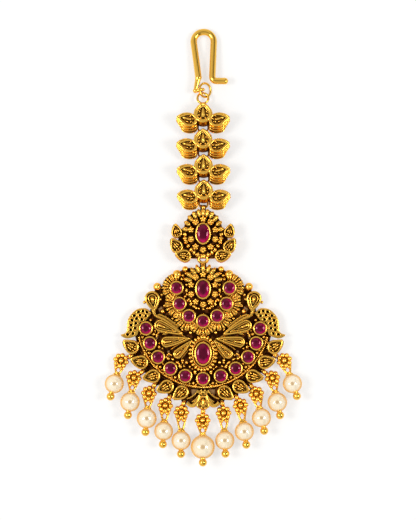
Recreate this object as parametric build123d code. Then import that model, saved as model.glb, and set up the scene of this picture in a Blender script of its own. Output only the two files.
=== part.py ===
from build123d import *
import os
from math import acos, asin, atan2, cos, degrees, hypot, pi, radians, sin

# A temple-style maang tikka lying face up, in millimetres. While it is built, the
# centre stone of the main pendant is at X = 0, Y = 0, the hook is towards +Y, and the
# surface it lies on is Z = 0. At the end the whole set is moved so that the middle of
# its footprint is at the origin.

# ---------------------------------------------------------------- driving dimensions
GAP = 0.05              # stone to setting
PLATE = 1.2             # thickness of the cast back of the pendant and the rosette
SINK = 0.6              # how deep raised work starts inside that back
LOW, MID, HIGH = 1.7, 2.2, 2.6   # heights of raised work above the back's underside
BEZEL_TOP = 2.75        # rim of each stone setting
STONE_TABLE = 3.05      # flat top of each stone
STONE_R = 1.425         # round ruby
BEZEL_WALL = 0.225      # wall of a setting
RING_WIRE = 0.225       # wire radius of the small flat rings of the chain
STAPLE_WIRE = 0.2       # wire radius of the upright loops of the chain
STAPLE_R = 0.55         # bend radius of those loops
RING_Z = 0.8            # height of the ring wire that an upright loop holds

ARC_CENTRE_Y = 8.07     # centre of the crescent of stones, rope wire and leaves
CRESCENT_R = 14.3
CRESCENT_ANGLES = (0, 18, 34.6, 51.5, 67.5, 82.9)    # from straight down, both sides
ROPE_R, ROPE_WIRE = 16.45, 0.36
ARC_STONES = ((6.56, 16.35, 180), (5.85, 12.4, 205), (3.53, 9.33, 240))  # x, y, fan

LEAF_SIZE = (4.5, 3.4)
EDGE_LEAVES = (         # x, y on the left, direction of the tip in degrees
    (-17.9, 1.75, 150), (-15.6, -2.1, 172), (-12.6, -5.65, 196),
    (-9.2, -8.3, 211), (-5.5, -9.75, 225),
)
WING_PETALS = (         # rounded end x, y, radius; tip x, y; on the left
    (-10.7, 7.0, 1.4, -5.05, 4.8), (-9.1, 2.9, 1.3, -3.2, 3.8), (-6.3, -0.1, 1.1, -2.6, 3.4),
)
EDGE_BALLS = ((4.45, 21.0, 0.75), (6.45, 19.7, 1.1), (11.4, 16.6, 1.0))
GRANULES = (            # small grains in the field, right half: x, y, radius
    (14.6, 12.75, 0.3), (10.1, 10.5, 0.5), (8.9, 13.9, 0.35), (8.2, 10.4, 0.3),
    (9.6, 11.9, 0.3), (3.9, 6.6, 0.3), (5.3, 7.6, 0.3), (2.2, 5.6, 0.28),
    (12.2, 6.4, 0.32), (11.5, 4.6, 0.32), (11.0, 1.6, 0.3), (9.2, -0.9, 0.32),
    (4.1, -2.2, 0.32), (5.9, -3.0, 0.3), (2.0, -4.9, 0.3), (8.3, -6.0, 0.3),
    (4.2, -7.9, 0.32), (1.9, -8.1, 0.3), (11.6, -3.3, 0.3), (14.6, -0.3, 0.3),
    (16.2, 2.6, 0.3), (3.1, 12.2, 0.3), (1.7, 11.3, 0.3),
)

CROWN_PETALS = (90, 110, 128, 147, 166, 70, 52, 33, 14)
BEADS, BEAD_RING = 26, (3.1, 4.05)
PENDANT_RING_R = 1.3

ROSETTE_CENTRE = (0, 29.5)
ROSETTE_TILT = 5.0      # degrees, the end nearer the pendant lies higher
ROSETTE_LEAVES = ((-6.6, 30.1, 108, 0.78), (-6.65, 26.5, 130, 0.9), (-4.75, 24.05, 172, 0.9))

ROSETTE_PETALS = (90, 101, 114, 129, 146, 165)
ROSETTE_GRAINS = (      # direction, distance, radius; on the left
    (183, 4.5, 0.5), (199, 4.6, 0.5), (217, 4.6, 0.42), (236, 5.0, 0.45), (252, 5.3, 0.42),
)

LINK_CENTRES = ((0, 59.95), (0, 53.55), (0.1, 47.2), (0.17, 40.9))
LINK_TILT = 13.0        # degrees, each link's lower end lies higher
LINK_THICK = 3.0
LINK_BANDS = 3          # steps in the wall of a link
LINK_DROP = 1.0         # how far a link's body hangs below the middle of its fittings
LINK_RING_R = 1.3
PLAQUE_RING_R = 1.1
LINK_STAPLE_Y = -2.46   # upright loop below a link, from the link's centre
TOP_RING_R = 1.35       # larger ring of the topmost link

HOOK_WIRE = 0.82
HOOK_TILT = 6.0
EYE_R, EYE_WIRE = 0.92, 0.4
HOOK_RING_R, HOOK_RING_WIRE, HOOK_RING_TILT = 1.7, 0.22, 37

DROPS = (               # lug x, y; flower x, y; pearl x, y, radius
    (-18.15, -0.75, -20.5, -2.05, -22.05, -7.5, 2.4),
    (-15.35, -4.7, -17.3, -6.3, -18.15, -12.0, 2.45),
    (-12.2, -8.0, -13.5, -10.2, -14.0, -16.1, 2.5),
    (-8.4, -11.0, -9.45, -13.2, -9.8, -19.25, 2.36),
    (-4.85, -12.5, -5.4, -14.9, -5.45, -21.6, 2.4),
    (0.0, -14.45, -0.1, -17.0, -0.07, -23.15, 3.0),
    (4.75, -12.5, 5.1, -15.1, 5.4, -21.55, 2.4),
    (8.35, -11.0, 9.35, -13.2, 10.25, -19.35, 2.4),
    (12.05, -8.2, 13.3, -10.3, 14.5, -15.95, 2.4),
    (15.3, -4.7, 17.3, -6.4, 18.45, -12.05, 2.45),
    (17.95, -0.45, 20.3, -2.0, 22.2, -7.45, 2.4),
)
FLOWER_RING = 1.2       # circle on which a drop flower's grains sit
GRAIN, HEART = 0.43, 0.55
SEAM_TURN = 17          # turns each grain's seam away from its neighbours
CARRIER = 0.42          # grain at the back of a flower that carries its flat ring
CARRIER_REACH = 1.12    # from the lug to that grain
PIN_LOOP_R, PIN_LOOP_WIRE = 1.1, 0.23
FLOWER_LIFT = 0.92      # grains above the plane of the pin loop
LUG_RING_R, LUG_WIRE = 0.45, 0.16
PIN_ROD, PIN_HOLE = 0.3, 0.4
BALL_R = 1.05
LOOP_Z = 0.76           # height of the pin loop under its flower


# ---------------------------------------------------------------------- small helpers
def block(face, bottom, top):
    """A flat sketch pulled up from one height to another."""
    return extrude(Pos(0, 0, bottom) * face, top - bottom, dir=(0, 0, 1))


def both_sides(shapes):
    """The shapes and their mirror images across the YZ plane."""
    return list(shapes) + [mirror(shape, about=Plane.YZ) for shape in shapes]


def polar(radius, angle, centre=(0, 0)):
    """The point at a distance and a direction in degrees from a centre."""
    return (centre[0] + radius * cos(radians(angle)), centre[1] + radius * sin(radians(angle)))


def point_in(frame, x, y, z=0.0):
    """A point of a turned frame, as a place of the whole set."""
    return (frame * Pos(x, y, z)).position


def join(base, *groups):
    """Solder groups of raised work onto a base, one group after another."""
    for group in groups:
        base = base.fuse(*group)
    return base


def drop_face(length, width, scale=1.0):
    """A leaf outline with its round end towards -X and its point towards +X."""
    half, reach = width * scale / 2, length * scale
    shoulder_top, shoulder_low = (-0.06 * reach, half), (-0.06 * reach, -half)
    point = (0.56 * reach, 0)
    edges = [
        ThreePointArc(shoulder_top, (-0.44 * reach, 0), shoulder_low),
        ThreePointArc(shoulder_low, (0.29 * reach, -0.66 * half), point),
        ThreePointArc(point, (0.29 * reach, 0.66 * half), shoulder_top),
    ]
    return make_face(edges)


def petal_face(end, radius, tip, bulge=0.12):
    """A petal from a round end to a point, its sides bowed out a little."""
    dx, dy = tip[0] - end[0], tip[1] - end[1]
    length, turn = hypot(dx, dy), degrees(atan2(dy, dx))
    lean = degrees(acos(radius / length))
    sides = [polar(radius, turn + lean, end), polar(radius, turn - lean, end)]
    back = polar(radius, turn + 180, end)
    bows = []
    for side, sign in zip(sides, (1, -1)):
        middle = ((side[0] + tip[0]) / 2, (side[1] + tip[1]) / 2)
        bows.append(polar(sign * bulge * radius, turn + 90, middle))
    edges = [
        ThreePointArc(sides[0], back, sides[1]),
        ThreePointArc(sides[1], bows[1], tip),
        ThreePointArc(tip, bows[0], sides[0]),
    ]
    return make_face(edges)


def petal_work(end, radius, tip, rim=0.34, ridge=0.5, top=HIGH):
    """A petal with a raised rim, a hollow floor and a raised drop inside it."""
    length = hypot(tip[0] - end[0], tip[1] - end[1])
    shrink = (length - 2.4 * rim) / length

    def short_tip(share):
        return (end[0] + (tip[0] - end[0]) * share, end[1] + (tip[1] - end[1]) * share)

    outer = petal_face(end, radius, tip)
    inner = petal_face(end, radius - rim, short_tip(shrink))
    drop = petal_face(end, radius * ridge, short_tip(0.62 * shrink))
    return [block(outer - inner, SINK, top), block(drop, SINK, top - 0.25)]


def bezel(x, y, stone_rx, stone_ry):
    """A plain setting that stands round one stone."""
    inner_x, inner_y = stone_rx + GAP, stone_ry + GAP
    wall = Ellipse(inner_x + BEZEL_WALL, inner_y + BEZEL_WALL) - Ellipse(inner_x, inner_y)
    if stone_rx == stone_ry:
        wall = Circle(inner_x + BEZEL_WALL) - Circle(inner_x)
    return Pos(x, y, 0) * block(wall, SINK, BEZEL_TOP)


def cut_stone(x, y, half_width, half_length, sides=12):
    """A faceted stone: table, crown, girdle and pavilion, each ring of facets alike."""
    depth = STONE_TABLE - PLATE
    rings = (           # height, share of the girdle
        (PLATE + 0.08, 0.16), (PLATE + 0.62 * depth, 1.0),
        (PLATE + 0.70 * depth, 1.0), (STONE_TABLE, 0.58),
    )
    sections = []
    for height, share in rings:
        corners = [
            (
                x + half_width * share * cos(2 * pi * (i + 0.5) / sides),
                y + half_length * share * sin(2 * pi * (i + 0.5) / sides),
                height,
            )
            for i in range(sides)
        ]
        sections.append(make_face(Polyline(*corners, close=True)))
    return loft(sections, ruled=True)


def small_flower(radius=0.75):
    """A five-petalled cast flower with a grain at its centre."""
    lobes = Circle(radius * 0.5)
    for i in range(5):
        lobes += Pos(*polar(radius * 0.55, 90 + 72 * i), 0) * Circle(radius * 0.45)
    return block(lobes, SINK, MID + 0.1).fuse(Pos(0, 0, MID + 0.1) * Sphere(radius * 0.36))


def leaf_work(scale=1.0, top=HIGH):
    """A mango leaf: rim, sunk floor, three veins and a few grains."""
    outer = drop_face(*LEAF_SIZE, scale)
    inner = drop_face(*LEAF_SIZE, scale * 0.76)
    leaf = block(outer, SINK, top).cut(block(inner, LOW, top + 1))
    details = []
    for offset, length in ((0, 2.5), (0.55, 1.5), (-0.55, 1.5)):
        vein = Pos((0.35 if offset else 0.15) * scale, offset * scale, 0)
        details.append(vein * block(SlotOverall(length * scale, 0.32 * scale), SINK, top - 0.3))
    for x, y in ((-1.05, 0.75), (-1.35, 0), (-1.05, -0.75)):
        details.append(Pos(x * scale, y * scale, LOW) * Sphere(0.32 * scale))
    return leaf.fuse(*details)


def flat_ring(x, y, z, radius, wire):
    return Pos(x, y, z) * Torus(radius, wire)


def tube(edges, wire):
    """Round wire along a smooth path."""
    path = Wire(edges)
    return sweep(Plane(origin=path @ 0, z_dir=path % 0) * Circle(wire), path=path)


def half_loop(x, y, middle, end, radius, wire):
    """Half of an upright loop in the YZ plane: both legs from mid height, and the bend."""
    bow = end + (radius if end > middle else -radius)
    return tube(
        [
            Line((x, y - radius, middle), (x, y - radius, end)),
            ThreePointArc((x, y - radius, end), (x, y, bow), (x, y + radius, end)),
            Line((x, y + radius, end), (x, y + radius, middle)),
        ],
        wire,
    )


def staple(x, y, bottom, top, radius=STAPLE_R, wire=STAPLE_WIRE):
    """An upright closed loop in the YZ plane."""
    low, high = bottom + radius + wire, top - radius - wire
    middle = (low + high) / 2
    return half_loop(x, y, middle, low, radius, wire).fuse(
        half_loop(x, y, middle, high, radius, wire)
    )


def tilted(y_pivot, z_pivot, angle):
    """A frame turned about X so that its -Y end lies higher."""
    return Pos(0, y_pivot, z_pivot) * Rot(-angle, 0, 0) * Pos(0, -y_pivot, 0)


# --------------------------------------------------------------------------- pendant
def fan(x, y, facing):
    """Ribbed half daisy outside one stone of the upper arc."""
    ribs, inner, outer = 9, 1.78, 3.65
    shapes = []
    for i in range(ribs):
        angle = -84 + 168 * i / (ribs - 1)
        rib = Polyline((inner, -0.16), (outer - 0.3, -0.3), (outer, -0.16), (outer, 0.16),
                       (outer - 0.3, 0.3), (inner, 0.16), close=True)
        shapes.append(Pos(x, y, 0) * Rot(0, 0, facing + angle) * block(make_face(rib), SINK, MID))
    return shapes


def fan_base(x, y, outer=3.6):
    return Pos(x, y) * Circle(outer)


def sunburst(centre, angles, inner, outer, width, top=MID + 0.2):
    """Rounded petals that stand out round a stone."""
    shapes = []
    for angle in angles:
        length = outer - inner
        petal = Pos(inner + length / 2, 0) * SlotOverall(length, width)
        place = Pos(*centre, 0) * Rot(0, 0, angle)
        shapes.append(place * block(petal, SINK, top))
        shapes.append(place * Pos(outer - width * 0.55, 0, top - 0.05) * Sphere(width * 0.36))
    return shapes


def honeycomb_face():
    """The outline of the bird's body on the left, from its tail point round the back."""
    edges = [
        Spline((-20.4, 4.5), (-18.9, 5.45), (-18.45, 8.5), (-16.6, 10.75), (-14.4, 11.15),
               (-12.9, 10.0)),
        Line((-12.9, 10.0), (-14.3, 8.2)),
        Spline((-14.3, 8.2), (-15.9, 7.4), (-16.1, 5.6), (-17.5, 4.1)),
        Spline((-17.5, 4.1), (-18.9, 3.75), (-20.4, 4.5)),
    ]
    return make_face(edges)


def honeycomb_pits():
    """Rows of round pits over the body, row by row from its crest to its tail."""
    rows = (
        ((-16.05, 10.35), (-14.95, 10.6), (-13.9, 10.35)),
        ((-17.1, 9.45), (-15.65, 9.6), (-14.25, 9.4)),
        ((-17.65, 8.3), (-16.55, 8.75), (-15.25, 8.5)),
        ((-17.9, 7.1), (-16.75, 7.55)),
        ((-17.95, 5.95), (-16.85, 6.35)),
        ((-18.75, 4.75), (-17.45, 5.0)),
    )
    return [Pos(x, y) * Circle(0.375) for row in rows for x, y in row]


def bird():
    """A stylised bird on the left shoulder: head drop, doubled neck and pitted body."""
    head = petal_work((-12.65, 13.7), 1.85, (-12.1, 10.5), rim=0.4, ridge=0.42)
    neck = Spline((-12.15, 10.9), (-11.75, 9.45), (-10.2, 8.75), (-8.6, 7.75), (-6.7, 6.3))
    throat = Spline((-10.9, 9.75), (-9.9, 9.3), (-8.4, 8.35), (-6.9, 7.15))
    lines = [block(trace(neck, 0.6), SINK, MID + 0.2), block(trace(throat, 0.4), SINK, MID)]
    body = honeycomb_face()
    for pit in honeycomb_pits():
        body -= pit
    return head + lines + [block(body, SINK, MID + 0.1)]


def bottom_motif():
    """Knot and tulip at the foot of the pendant, right half and middle."""
    arm = Spline((1.15, -11.1), (2.0, -12.3), (2.75, -13.0), (3.6, -12.65), (4.0, -12.2))
    edge = Spline((1.3, -9.2), (2.0, -10.1), (3.1, -10.9), (4.0, -11.2))
    half = [block(trace(arm, 0.75), SINK, MID + 0.2), block(trace(edge, 0.35), SINK, MID)]
    knot = Pos(0.75, -9.75, 0) * Rot(0, 0, 35) * block(SlotOverall(1.9, 0.6), SINK, MID)
    half.append(knot)
    half.append(Pos(0.62, -13.35, 1.5) * Sphere(0.5))
    half.append(block(petal_face((1.0, -12.6), 0.4, (0.35, -11.3)), SINK, MID))
    middle = [
        Pos(0, -10.8, 0) * block(SlotOverall(2.5, 0.35), SINK, MID + 0.2),
        block(petal_face((0, -12.7), 0.62, (0, -11.2)), SINK, HIGH),
        Pos(0, -9.75, MID - 0.3) * Sphere(0.55),
        Pos(0, -13.6, 0) * block(SlotOverall(1.1, 0.5), SINK, LOW),
    ]
    return both_sides(half) + middle


def pendant_outline():
    """The closed back of the pendant, with all that stands out from its edge."""
    shoulder = [
        (-16.3, 6.6), (-13.3, 9.6), (-13.0, 12.4), (-11.9, 16.3), (-10.0, 16.9),
        (-8.8, 18.6), (-6.3, 20.2), (-4.3, 21.3),
    ]
    corners = shoulder + [(-x, y) for x, y in reversed(shoulder)]
    face = Pos(0, ARC_CENTRE_Y) * Circle(ROPE_R + 0.9)
    face -= Pos(0, ARC_CENTRE_Y + 20) * Rectangle(60, 40)
    face += Pos(0, 7.4) * Rectangle(2 * ROPE_R, 3.0)
    face += make_face(Polyline(*corners, close=True))
    left = [honeycomb_face(), petal_face((-12.65, 13.7), 1.85, (-12.1, 10.5))]
    left += [Pos(x, y) * Rot(0, 0, turn) * drop_face(*LEAF_SIZE) for x, y, turn in EDGE_LEAVES]
    left += [fan_base(-x, y) for x, y, _ in ARC_STONES]
    left += [Pos(-x, y) * Circle(0.8 * r) for x, y, r in EDGE_BALLS]
    left.append(Pos(-2.8, -12.75) * Circle(0.75))
    for shape in both_sides(left):
        face += shape
    foot = [(-5.0, -8.0), (-4.3, -11.6), (-3.4, -12.5), (-2.0, -12.0)]
    corners = foot + [(-x, y) for x, y in reversed(foot)]
    face += make_face(Polyline(*corners, close=True))
    face += Pos(0, -13.0) * SlotOverall(3.0, 1.3) + Pos(0, -12.4) * Rectangle(2.0, 1.4)
    face += Pos(0, 17.4) * Circle(4.3) + Pos(0, 21.9) * Rectangle(1.6, 1.2)
    for drop in DROPS:
        lug, flower = drop[0:2], drop[2:4]
        turn = degrees(atan2(flower[1] - lug[1], flower[0] - lug[0]))
        tab = Rot(0, 0, turn) * Pos(-0.85, 0) * Rectangle(1.1, 0.7)
        face += Pos(*lug) * tab
    return face


def lug(drop):
    """Upright ring at the edge, with the grain that covers it."""
    x, y = drop[0:2]
    turn = degrees(atan2(drop[3] - y, drop[2] - x))
    place = Pos(x, y, LOOP_Z) * Rot(0, 0, turn)
    ring = place * Rot(90, 0, 0) * Torus(LUG_RING_R, LUG_WIRE)
    grain = place * Pos(-0.1, 0, LUG_RING_R + 0.42) * Sphere(0.52)
    post = place * Pos(-LUG_RING_R - 0.15, 0, 0.3) * Cylinder(0.28, 1.6)
    return [ring, grain, post]


def bead_ring():
    """A ring of beads on a low rail round the centre stone."""
    beads = []
    for i in range(BEADS):
        angle = 2 * pi * i / BEADS
        spot = Pos(BEAD_RING[0] * cos(angle), BEAD_RING[1] * sin(angle), MID - 0.2)
        beads.append(spot * Sphere(0.39))
    rail = Ellipse(BEAD_RING[0] + 0.3, BEAD_RING[1] + 0.3)
    rail -= Ellipse(BEAD_RING[0] - 0.3, BEAD_RING[1] - 0.3)
    return beads + [block(rail, SINK, LOW)]


def flower_ring(x, y, half_width, half_length):
    """Ten small flowers round an oval stone."""
    flower = small_flower()
    shapes = []
    for i in range(10):
        angle = radians(36 * i + 18)
        spot = Pos(x + half_width * cos(angle), y + half_length * sin(angle), 0)
        shapes.append(spot * flower)
    return shapes


def pocket(x, y, half_width, half_length):
    """The room for one stone inside its setting."""
    face = Ellipse(half_width + GAP, half_length + GAP)
    if half_width == half_length:
        face = Circle(half_width + GAP)
    return Pos(x, y, 0) * block(face, PLATE, BEZEL_TOP + 1)


def pendant_plate():
    leaf = leaf_work()
    leaves = [Pos(x, y, 0) * Rot(0, 0, turn) * leaf for x, y, turn in EDGE_LEAVES]
    fans, wings = [], [block(petal_face((-9.6, 5.0), 0.3, (-6.0, 6.0)), SINK, MID)]
    for x, y, facing in ARC_STONES:
        fans += fan(-x, y, facing)
    for x, y, radius, tip_x, tip_y in WING_PETALS:
        wings += petal_work((x, y), radius, (tip_x, tip_y))
    balls = [Pos(-x, y, 1.35) * Sphere(r) for x, y, r in EDGE_BALLS]
    grains = [Pos(-x, y, PLATE + 0.35) * Sphere(r + 0.1) for x, y, r in GRANULES]
    rope = tube([CenterArc((0, ARC_CENTRE_Y, PLATE + 0.3), ROPE_R, 194, 152)], ROPE_WIRE)
    settings = list(STONES.values()) + [(x, y, STONE_R, STONE_R) for x, y in ARC_RUBIES]
    plate = join(
        block(pendant_outline(), 0, PLATE),
        bottom_motif(),
        [rope, flat_ring(0, 23.75, RING_Z, PENDANT_RING_R, 0.25)],
        both_sides(fans) + fan(0, ARC_CENTRE_Y, 270),
        both_sides(bird()),
        both_sides(leaves),
        both_sides(wings),
        both_sides(balls),
        both_sides(grains),
        sunburst((0, 17.4), CROWN_PETALS, 2.95, 4.7, 0.95),
        flower_ring(0, 15.95, 3.1, 3.75),
        bead_ring(),
        [bezel(*setting) for setting in settings],
    )
    for drop in DROPS:
        plate = plate.fuse(*lug(drop))
    return plate.cut(*[pocket(*setting) for setting in settings])


def crescent_places():
    places = []
    for angle in CRESCENT_ANGLES:
        for sign in ((1,) if angle == 0 else (-1, 1)):
            places.append(polar(CRESCENT_R, 270 + sign * angle, (0, ARC_CENTRE_Y)))
    return sorted(places)


ARC_RUBIES = [(0.0, ARC_CENTRE_Y)]
for arc_x, arc_y, _ in ARC_STONES:
    ARC_RUBIES += [(-arc_x, arc_y), (arc_x, arc_y)]
STONES = {              # x, y, half width, half length
    "crown_ruby": (0, 16.1, 1.65, 2.25),
    "centre_ruby": (0, 0, 1.85, 2.65),
}
for number, (stone_x, stone_y) in enumerate(crescent_places(), 1):
    STONES[f"crescent_ruby_{number}"] = (stone_x, stone_y, STONE_R, STONE_R)


# --------------------------------------------------------------------------- rosette
def rosette_frame():
    ring_y = LINK_CENTRES[-1][1] + LINK_STAPLE_Y
    return tilted(ring_y, RING_Z - 0.35, ROSETTE_TILT)


def rosette_outline():
    """The closed back of the rosette: an oval with a wider foot and six leaves."""
    x0, y0 = ROSETTE_CENTRE
    foot = [(-6.0, 30.9), (-6.3, 26.6), (-4.9, 24.0), (-2.6, 23.5)]
    corners = foot + [(-x, y) for x, y in reversed(foot)]
    outline = Pos(x0, y0 + 0.3) * Ellipse(4.9, 6.0) + make_face(Polyline(*corners, close=True))
    for x, y, turn, scale in ROSETTE_LEAVES:
        outline += Pos(x, y) * Rot(0, 0, turn) * drop_face(*LEAF_SIZE, scale)
        outline += Pos(-x, y) * Rot(0, 0, 180 - turn) * drop_face(*LEAF_SIZE, scale)
    return outline + Pos(0, 36.3) * Rectangle(1.4, 1.2)


def rosette():
    """The small oval plaque above the pendant, and its ruby."""
    x0, y0 = ROSETTE_CENTRE
    stone = (0, y0 + 0.07, 1.62, 2.4)
    leaves = [
        Pos(x, y, 0) * Rot(0, 0, turn) * leaf_work(scale)
        for x, y, turn, scale in ROSETTE_LEAVES
    ]
    petals = []
    for angle in ROSETTE_PETALS + tuple(180 - a for a in ROSETTE_PETALS[1:]):
        reach = 1 / hypot(cos(radians(angle)) / 5.25, sin(radians(angle)) / 6.3)
        petals += sunburst((0, y0), (angle,), reach * 0.72, reach, 0.95)
    grains = [
        Pos(*polar(reach, angle, ROSETTE_CENTRE), LOW - 0.1) * Sphere(radius)
        for angle, reach, radius in ROSETTE_GRAINS
    ]
    ring_y = LINK_CENTRES[-1][1] + LINK_STAPLE_Y
    ring = flat_ring(0.1, ring_y - PLAQUE_RING_R, 0.35, PLAQUE_RING_R, RING_WIRE)
    plate = join(
        block(rosette_outline(), 0, PLATE),
        both_sides(leaves),
        petals,
        both_sides(grains),
        flower_ring(x0, y0 - 0.1, 3.15, 3.8),
        [bezel(*stone), ring],
    )
    frame = rosette_frame()
    plate = frame * plate.cut(pocket(*stone))
    loop = staple(0, 23.75 + PENDANT_RING_R, 0.03, 2.6)
    return plate.fuse(loop), frame * cut_stone(*stone)


# ----------------------------------------------------------------------- leaf links
def banded_wall(sketch_at):
    """A wall of stepped bands, each flaring a little towards its foot."""
    bands = []
    step = LINK_THICK / LINK_BANDS
    for i in range(LINK_BANDS):
        low, high = i * step, (i + 1) * step
        foot = 0.5 * (1 - i / LINK_BANDS)
        head = foot - 0.26
        bands.append(
            loft([Pos(0, 0, low) * sketch_at(foot), Pos(0, 0, high) * sketch_at(head)])
        )
    return bands


def teardrop(spread):
    return petal_face((0, -0.3), 2.3 + 0.3 * spread, (0, 2.6 + 0.1 * spread), bulge=0.1)


def side_leaf(spread):
    """A link's right leaf, its point curled up; the spread lengthens its lower side."""
    tip = (6.5 + 0.5 * spread, -1.2 - 0.1 * spread)
    edge = Spline(
        tip, (5.4, -0.5 + 0.4 * spread), (3.9, -0.2 + 0.4 * spread), (2.5, -0.65 + 0.4 * spread),
        (1.6 - 0.4 * spread, -1.9), (1.9 - 0.5 * spread, -2.95 - 1.6 * spread),
        (3.2, -3.4 - 1.9 * spread), (4.7 + 0.4 * spread, -3.05 - 1.8 * spread),
        (5.4 + 0.5 * spread, -2.3 - spread), tip,
    )
    return make_face(edge)


def link_body():
    """One link without its rings, centred on its teardrop, its back on the XY plane."""
    top = LINK_THICK
    drop = banded_wall(teardrop)
    drop = drop[0].fuse(*drop[1:])
    hollow = petal_face((0, -0.35), 1.5, (0, 1.8), bulge=0.1)
    drop = drop.cut(block(hollow, top - 0.6, top + 0.5))
    inside = [block(petal_face((0, -0.75), 0.42, (0, 1.5)), top - 1, top + 0.05)]
    for x, y in ((0.95, 0.15), (1.05, -0.7), (0.55, -1.35)):
        for side in (-x, x):
            inside.append(Pos(side, y, top - 0.5) * Sphere(0.3))
    leaf = banded_wall(side_leaf)
    leaf = leaf[0].fuse(*leaf[1:])
    pocket = Pos(3.65, -1.8) * Rot(0, 0, 14) * drop_face(3.6, 2.4)
    leaf = leaf.cut(block(pocket, top - 0.6, top + 0.5))
    vein = Pos(4.0, -1.6) * Rot(0, 0, 14) * SlotOverall(2.2, 0.4)
    marks = [block(vein, top - 1, top)]
    for x, y in ((3.2, -0.95), (3.9, -2.35), (2.75, -2.3)):
        marks.append(Pos(x, y, top - 0.5) * Sphere(0.3))
    leaf = leaf.fuse(*marks)
    return drop.fuse(*inside, *both_sides([leaf]))


def leaf_link(index):
    """A link in its place: top ring in its own plane, upright loop below it."""
    x, y = LINK_CENTRES[index]
    if index:
        ring_y = LINK_CENTRES[index - 1][1] + LINK_STAPLE_Y
        ring = flat_ring(x, ring_y - LINK_RING_R, 0.3, LINK_RING_R, RING_WIRE)
    else:
        ring_y = y + 3.85
        ring = flat_ring(x - 0.05, y + 3.32, 1.15, TOP_RING_R, 0.25)
        ring = ring.fuse(Pos(x, y + 1.6, 1.15) * Sphere(0.6))
    frame = tilted(ring_y, RING_Z - 0.3, LINK_TILT)
    loop = staple(x, y + LINK_STAPLE_Y, 0.03, 2.75)
    return (frame * Pos(x, y - LINK_DROP, 0) * link_body()).fuse(frame * ring, loop)


# ------------------------------------------------------------------- hook and its ring
def hook_ring():
    return Pos(*HOOK_RING_CENTRE) * Rot(0, HOOK_RING_TILT, 0) * Torus(
        HOOK_RING_R, HOOK_RING_WIRE
    )


HOOK_RING_CENTRE = (0.5, 65.6, 1.3)
EYE_TURN = 12           # direction in plan from the leg to the far side of the eye


def hook():
    """Hair hook: a bent wire in one plane, tapered into an upright eye."""
    bends = FilletPolyline(
        (-1.15, 68.6), (-1.6, 72.2), (-2.7, 80.15), (2.75, 80.15), (2.25, 67.75), (5.4, 67.7),
        radius=(20, 2.45, 2.45, 1.0),
    )
    turned = Pos(0, 80.15, HOOK_WIRE + 0.02) * Rot(-HOOK_TILT, 0, 0) * Pos(0, -80.15, 0)
    wire = turned * tube(bends.edges(), HOOK_WIRE)
    tip = turned * (Pos(5.4, 67.7, 0) * Sphere(1.03 * HOOK_WIRE))
    ring_point = polar(HOOK_RING_R, 185)
    eye_at = (
        HOOK_RING_CENTRE[0] + ring_point[0] * cos(radians(HOOK_RING_TILT)),
        HOOK_RING_CENTRE[1] + ring_point[1],
        HOOK_RING_CENTRE[2] - ring_point[0] * sin(radians(HOOK_RING_TILT)),
    )
    eye = Pos(*eye_at) * Rot(0, 0, EYE_TURN) * Rot(90, 0, 0) * Torus(EYE_R, EYE_WIRE)
    foot = polar(-EYE_R, EYE_TURN, eye_at[0:2])
    curl_at = Vector(foot[0] - 0.15, foot[1] + 0.1, eye_at[2])
    start = point_in(turned, -1.15, 68.6)
    taper = Plane(origin=(start + curl_at) / 2, z_dir=curl_at - start) * Cone(
        0.97 * HOOK_WIRE, 0.5, (curl_at - start).length
    )
    shoulder = Pos(start) * Sphere(1.03 * HOOK_WIRE)
    leg = join(wire, [tip, shoulder], [taper])
    return join(leg, [Pos(curl_at) * Sphere(0.64)], [eye])


# ------------------------------------------------------------------------- pearl drops
def drop_frame(drop):
    """Local frame of a drop: origin under the flower, -Y along the pin to the pearl."""
    fx, fy, px, py, radius = drop[2:]
    reach = hypot(px - fx, py - fy)
    rise = degrees(asin((radius - LOOP_Z) / reach))
    turn = degrees(atan2(py - fy, px - fx)) + 90
    return Pos(fx, fy, LOOP_Z) * Rot(0, 0, turn) * Rot(-rise, 0, 0), reach / cos(radians(rise))


def flower_core():
    """Eight grains round a ninth on a small disc, with an upright ring at the back."""
    disc = Pos(0, 0, FLOWER_LIFT - 0.2) * Cylinder(1.3, 0.36)
    grains = []
    for i in range(8):
        angle = 45 * i - 90
        spot = Pos(*polar(FLOWER_RING, angle), FLOWER_LIFT) * Rot(0, 0, angle + SEAM_TURN)
        grains.append(spot * Sphere(GRAIN))
    heart = Pos(0, 0, FLOWER_LIFT) * Rot(0, 0, SEAM_TURN) * Sphere(HEART)
    return join(disc, grains, [heart], [Rot(0, 90, 0) * Torus(0.5, 0.17)])


def drop_flower(drop):
    """A drop's flower in its place, with a grain that carries its flat ring to the lug."""
    frame, _ = drop_frame(drop)
    turn = degrees(atan2(drop[5] - drop[3], drop[4] - drop[2])) + 90
    lug_angle = degrees(atan2(drop[1] - drop[3], drop[0] - drop[2])) - turn
    distance = hypot(drop[2] - drop[0], drop[3] - drop[1])
    carrier_at = polar(min(1.45, distance - CARRIER_REACH), lug_angle)
    carrier = frame * Pos(*carrier_at, 0.3) * Rot(0, 0, lug_angle) * Sphere(CARRIER)
    ring_x = drop[0] + LUG_RING_R * (drop[2] - drop[0]) / distance
    ring_y = drop[1] + LUG_RING_R * (drop[3] - drop[1]) / distance
    ring = flat_ring(ring_x, ring_y, LOOP_Z, LUG_RING_R, LUG_WIRE)
    return join(frame * flower_core(), [carrier], [ring])


def pearl(drop):
    frame, reach = drop_frame(drop)
    ball = Sphere(drop[6]).cut(Cylinder(PIN_HOLE, 3 * drop[6]))
    return frame * Pos(0, -reach, 0) * Rot(90, 0, 0) * ball


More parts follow.
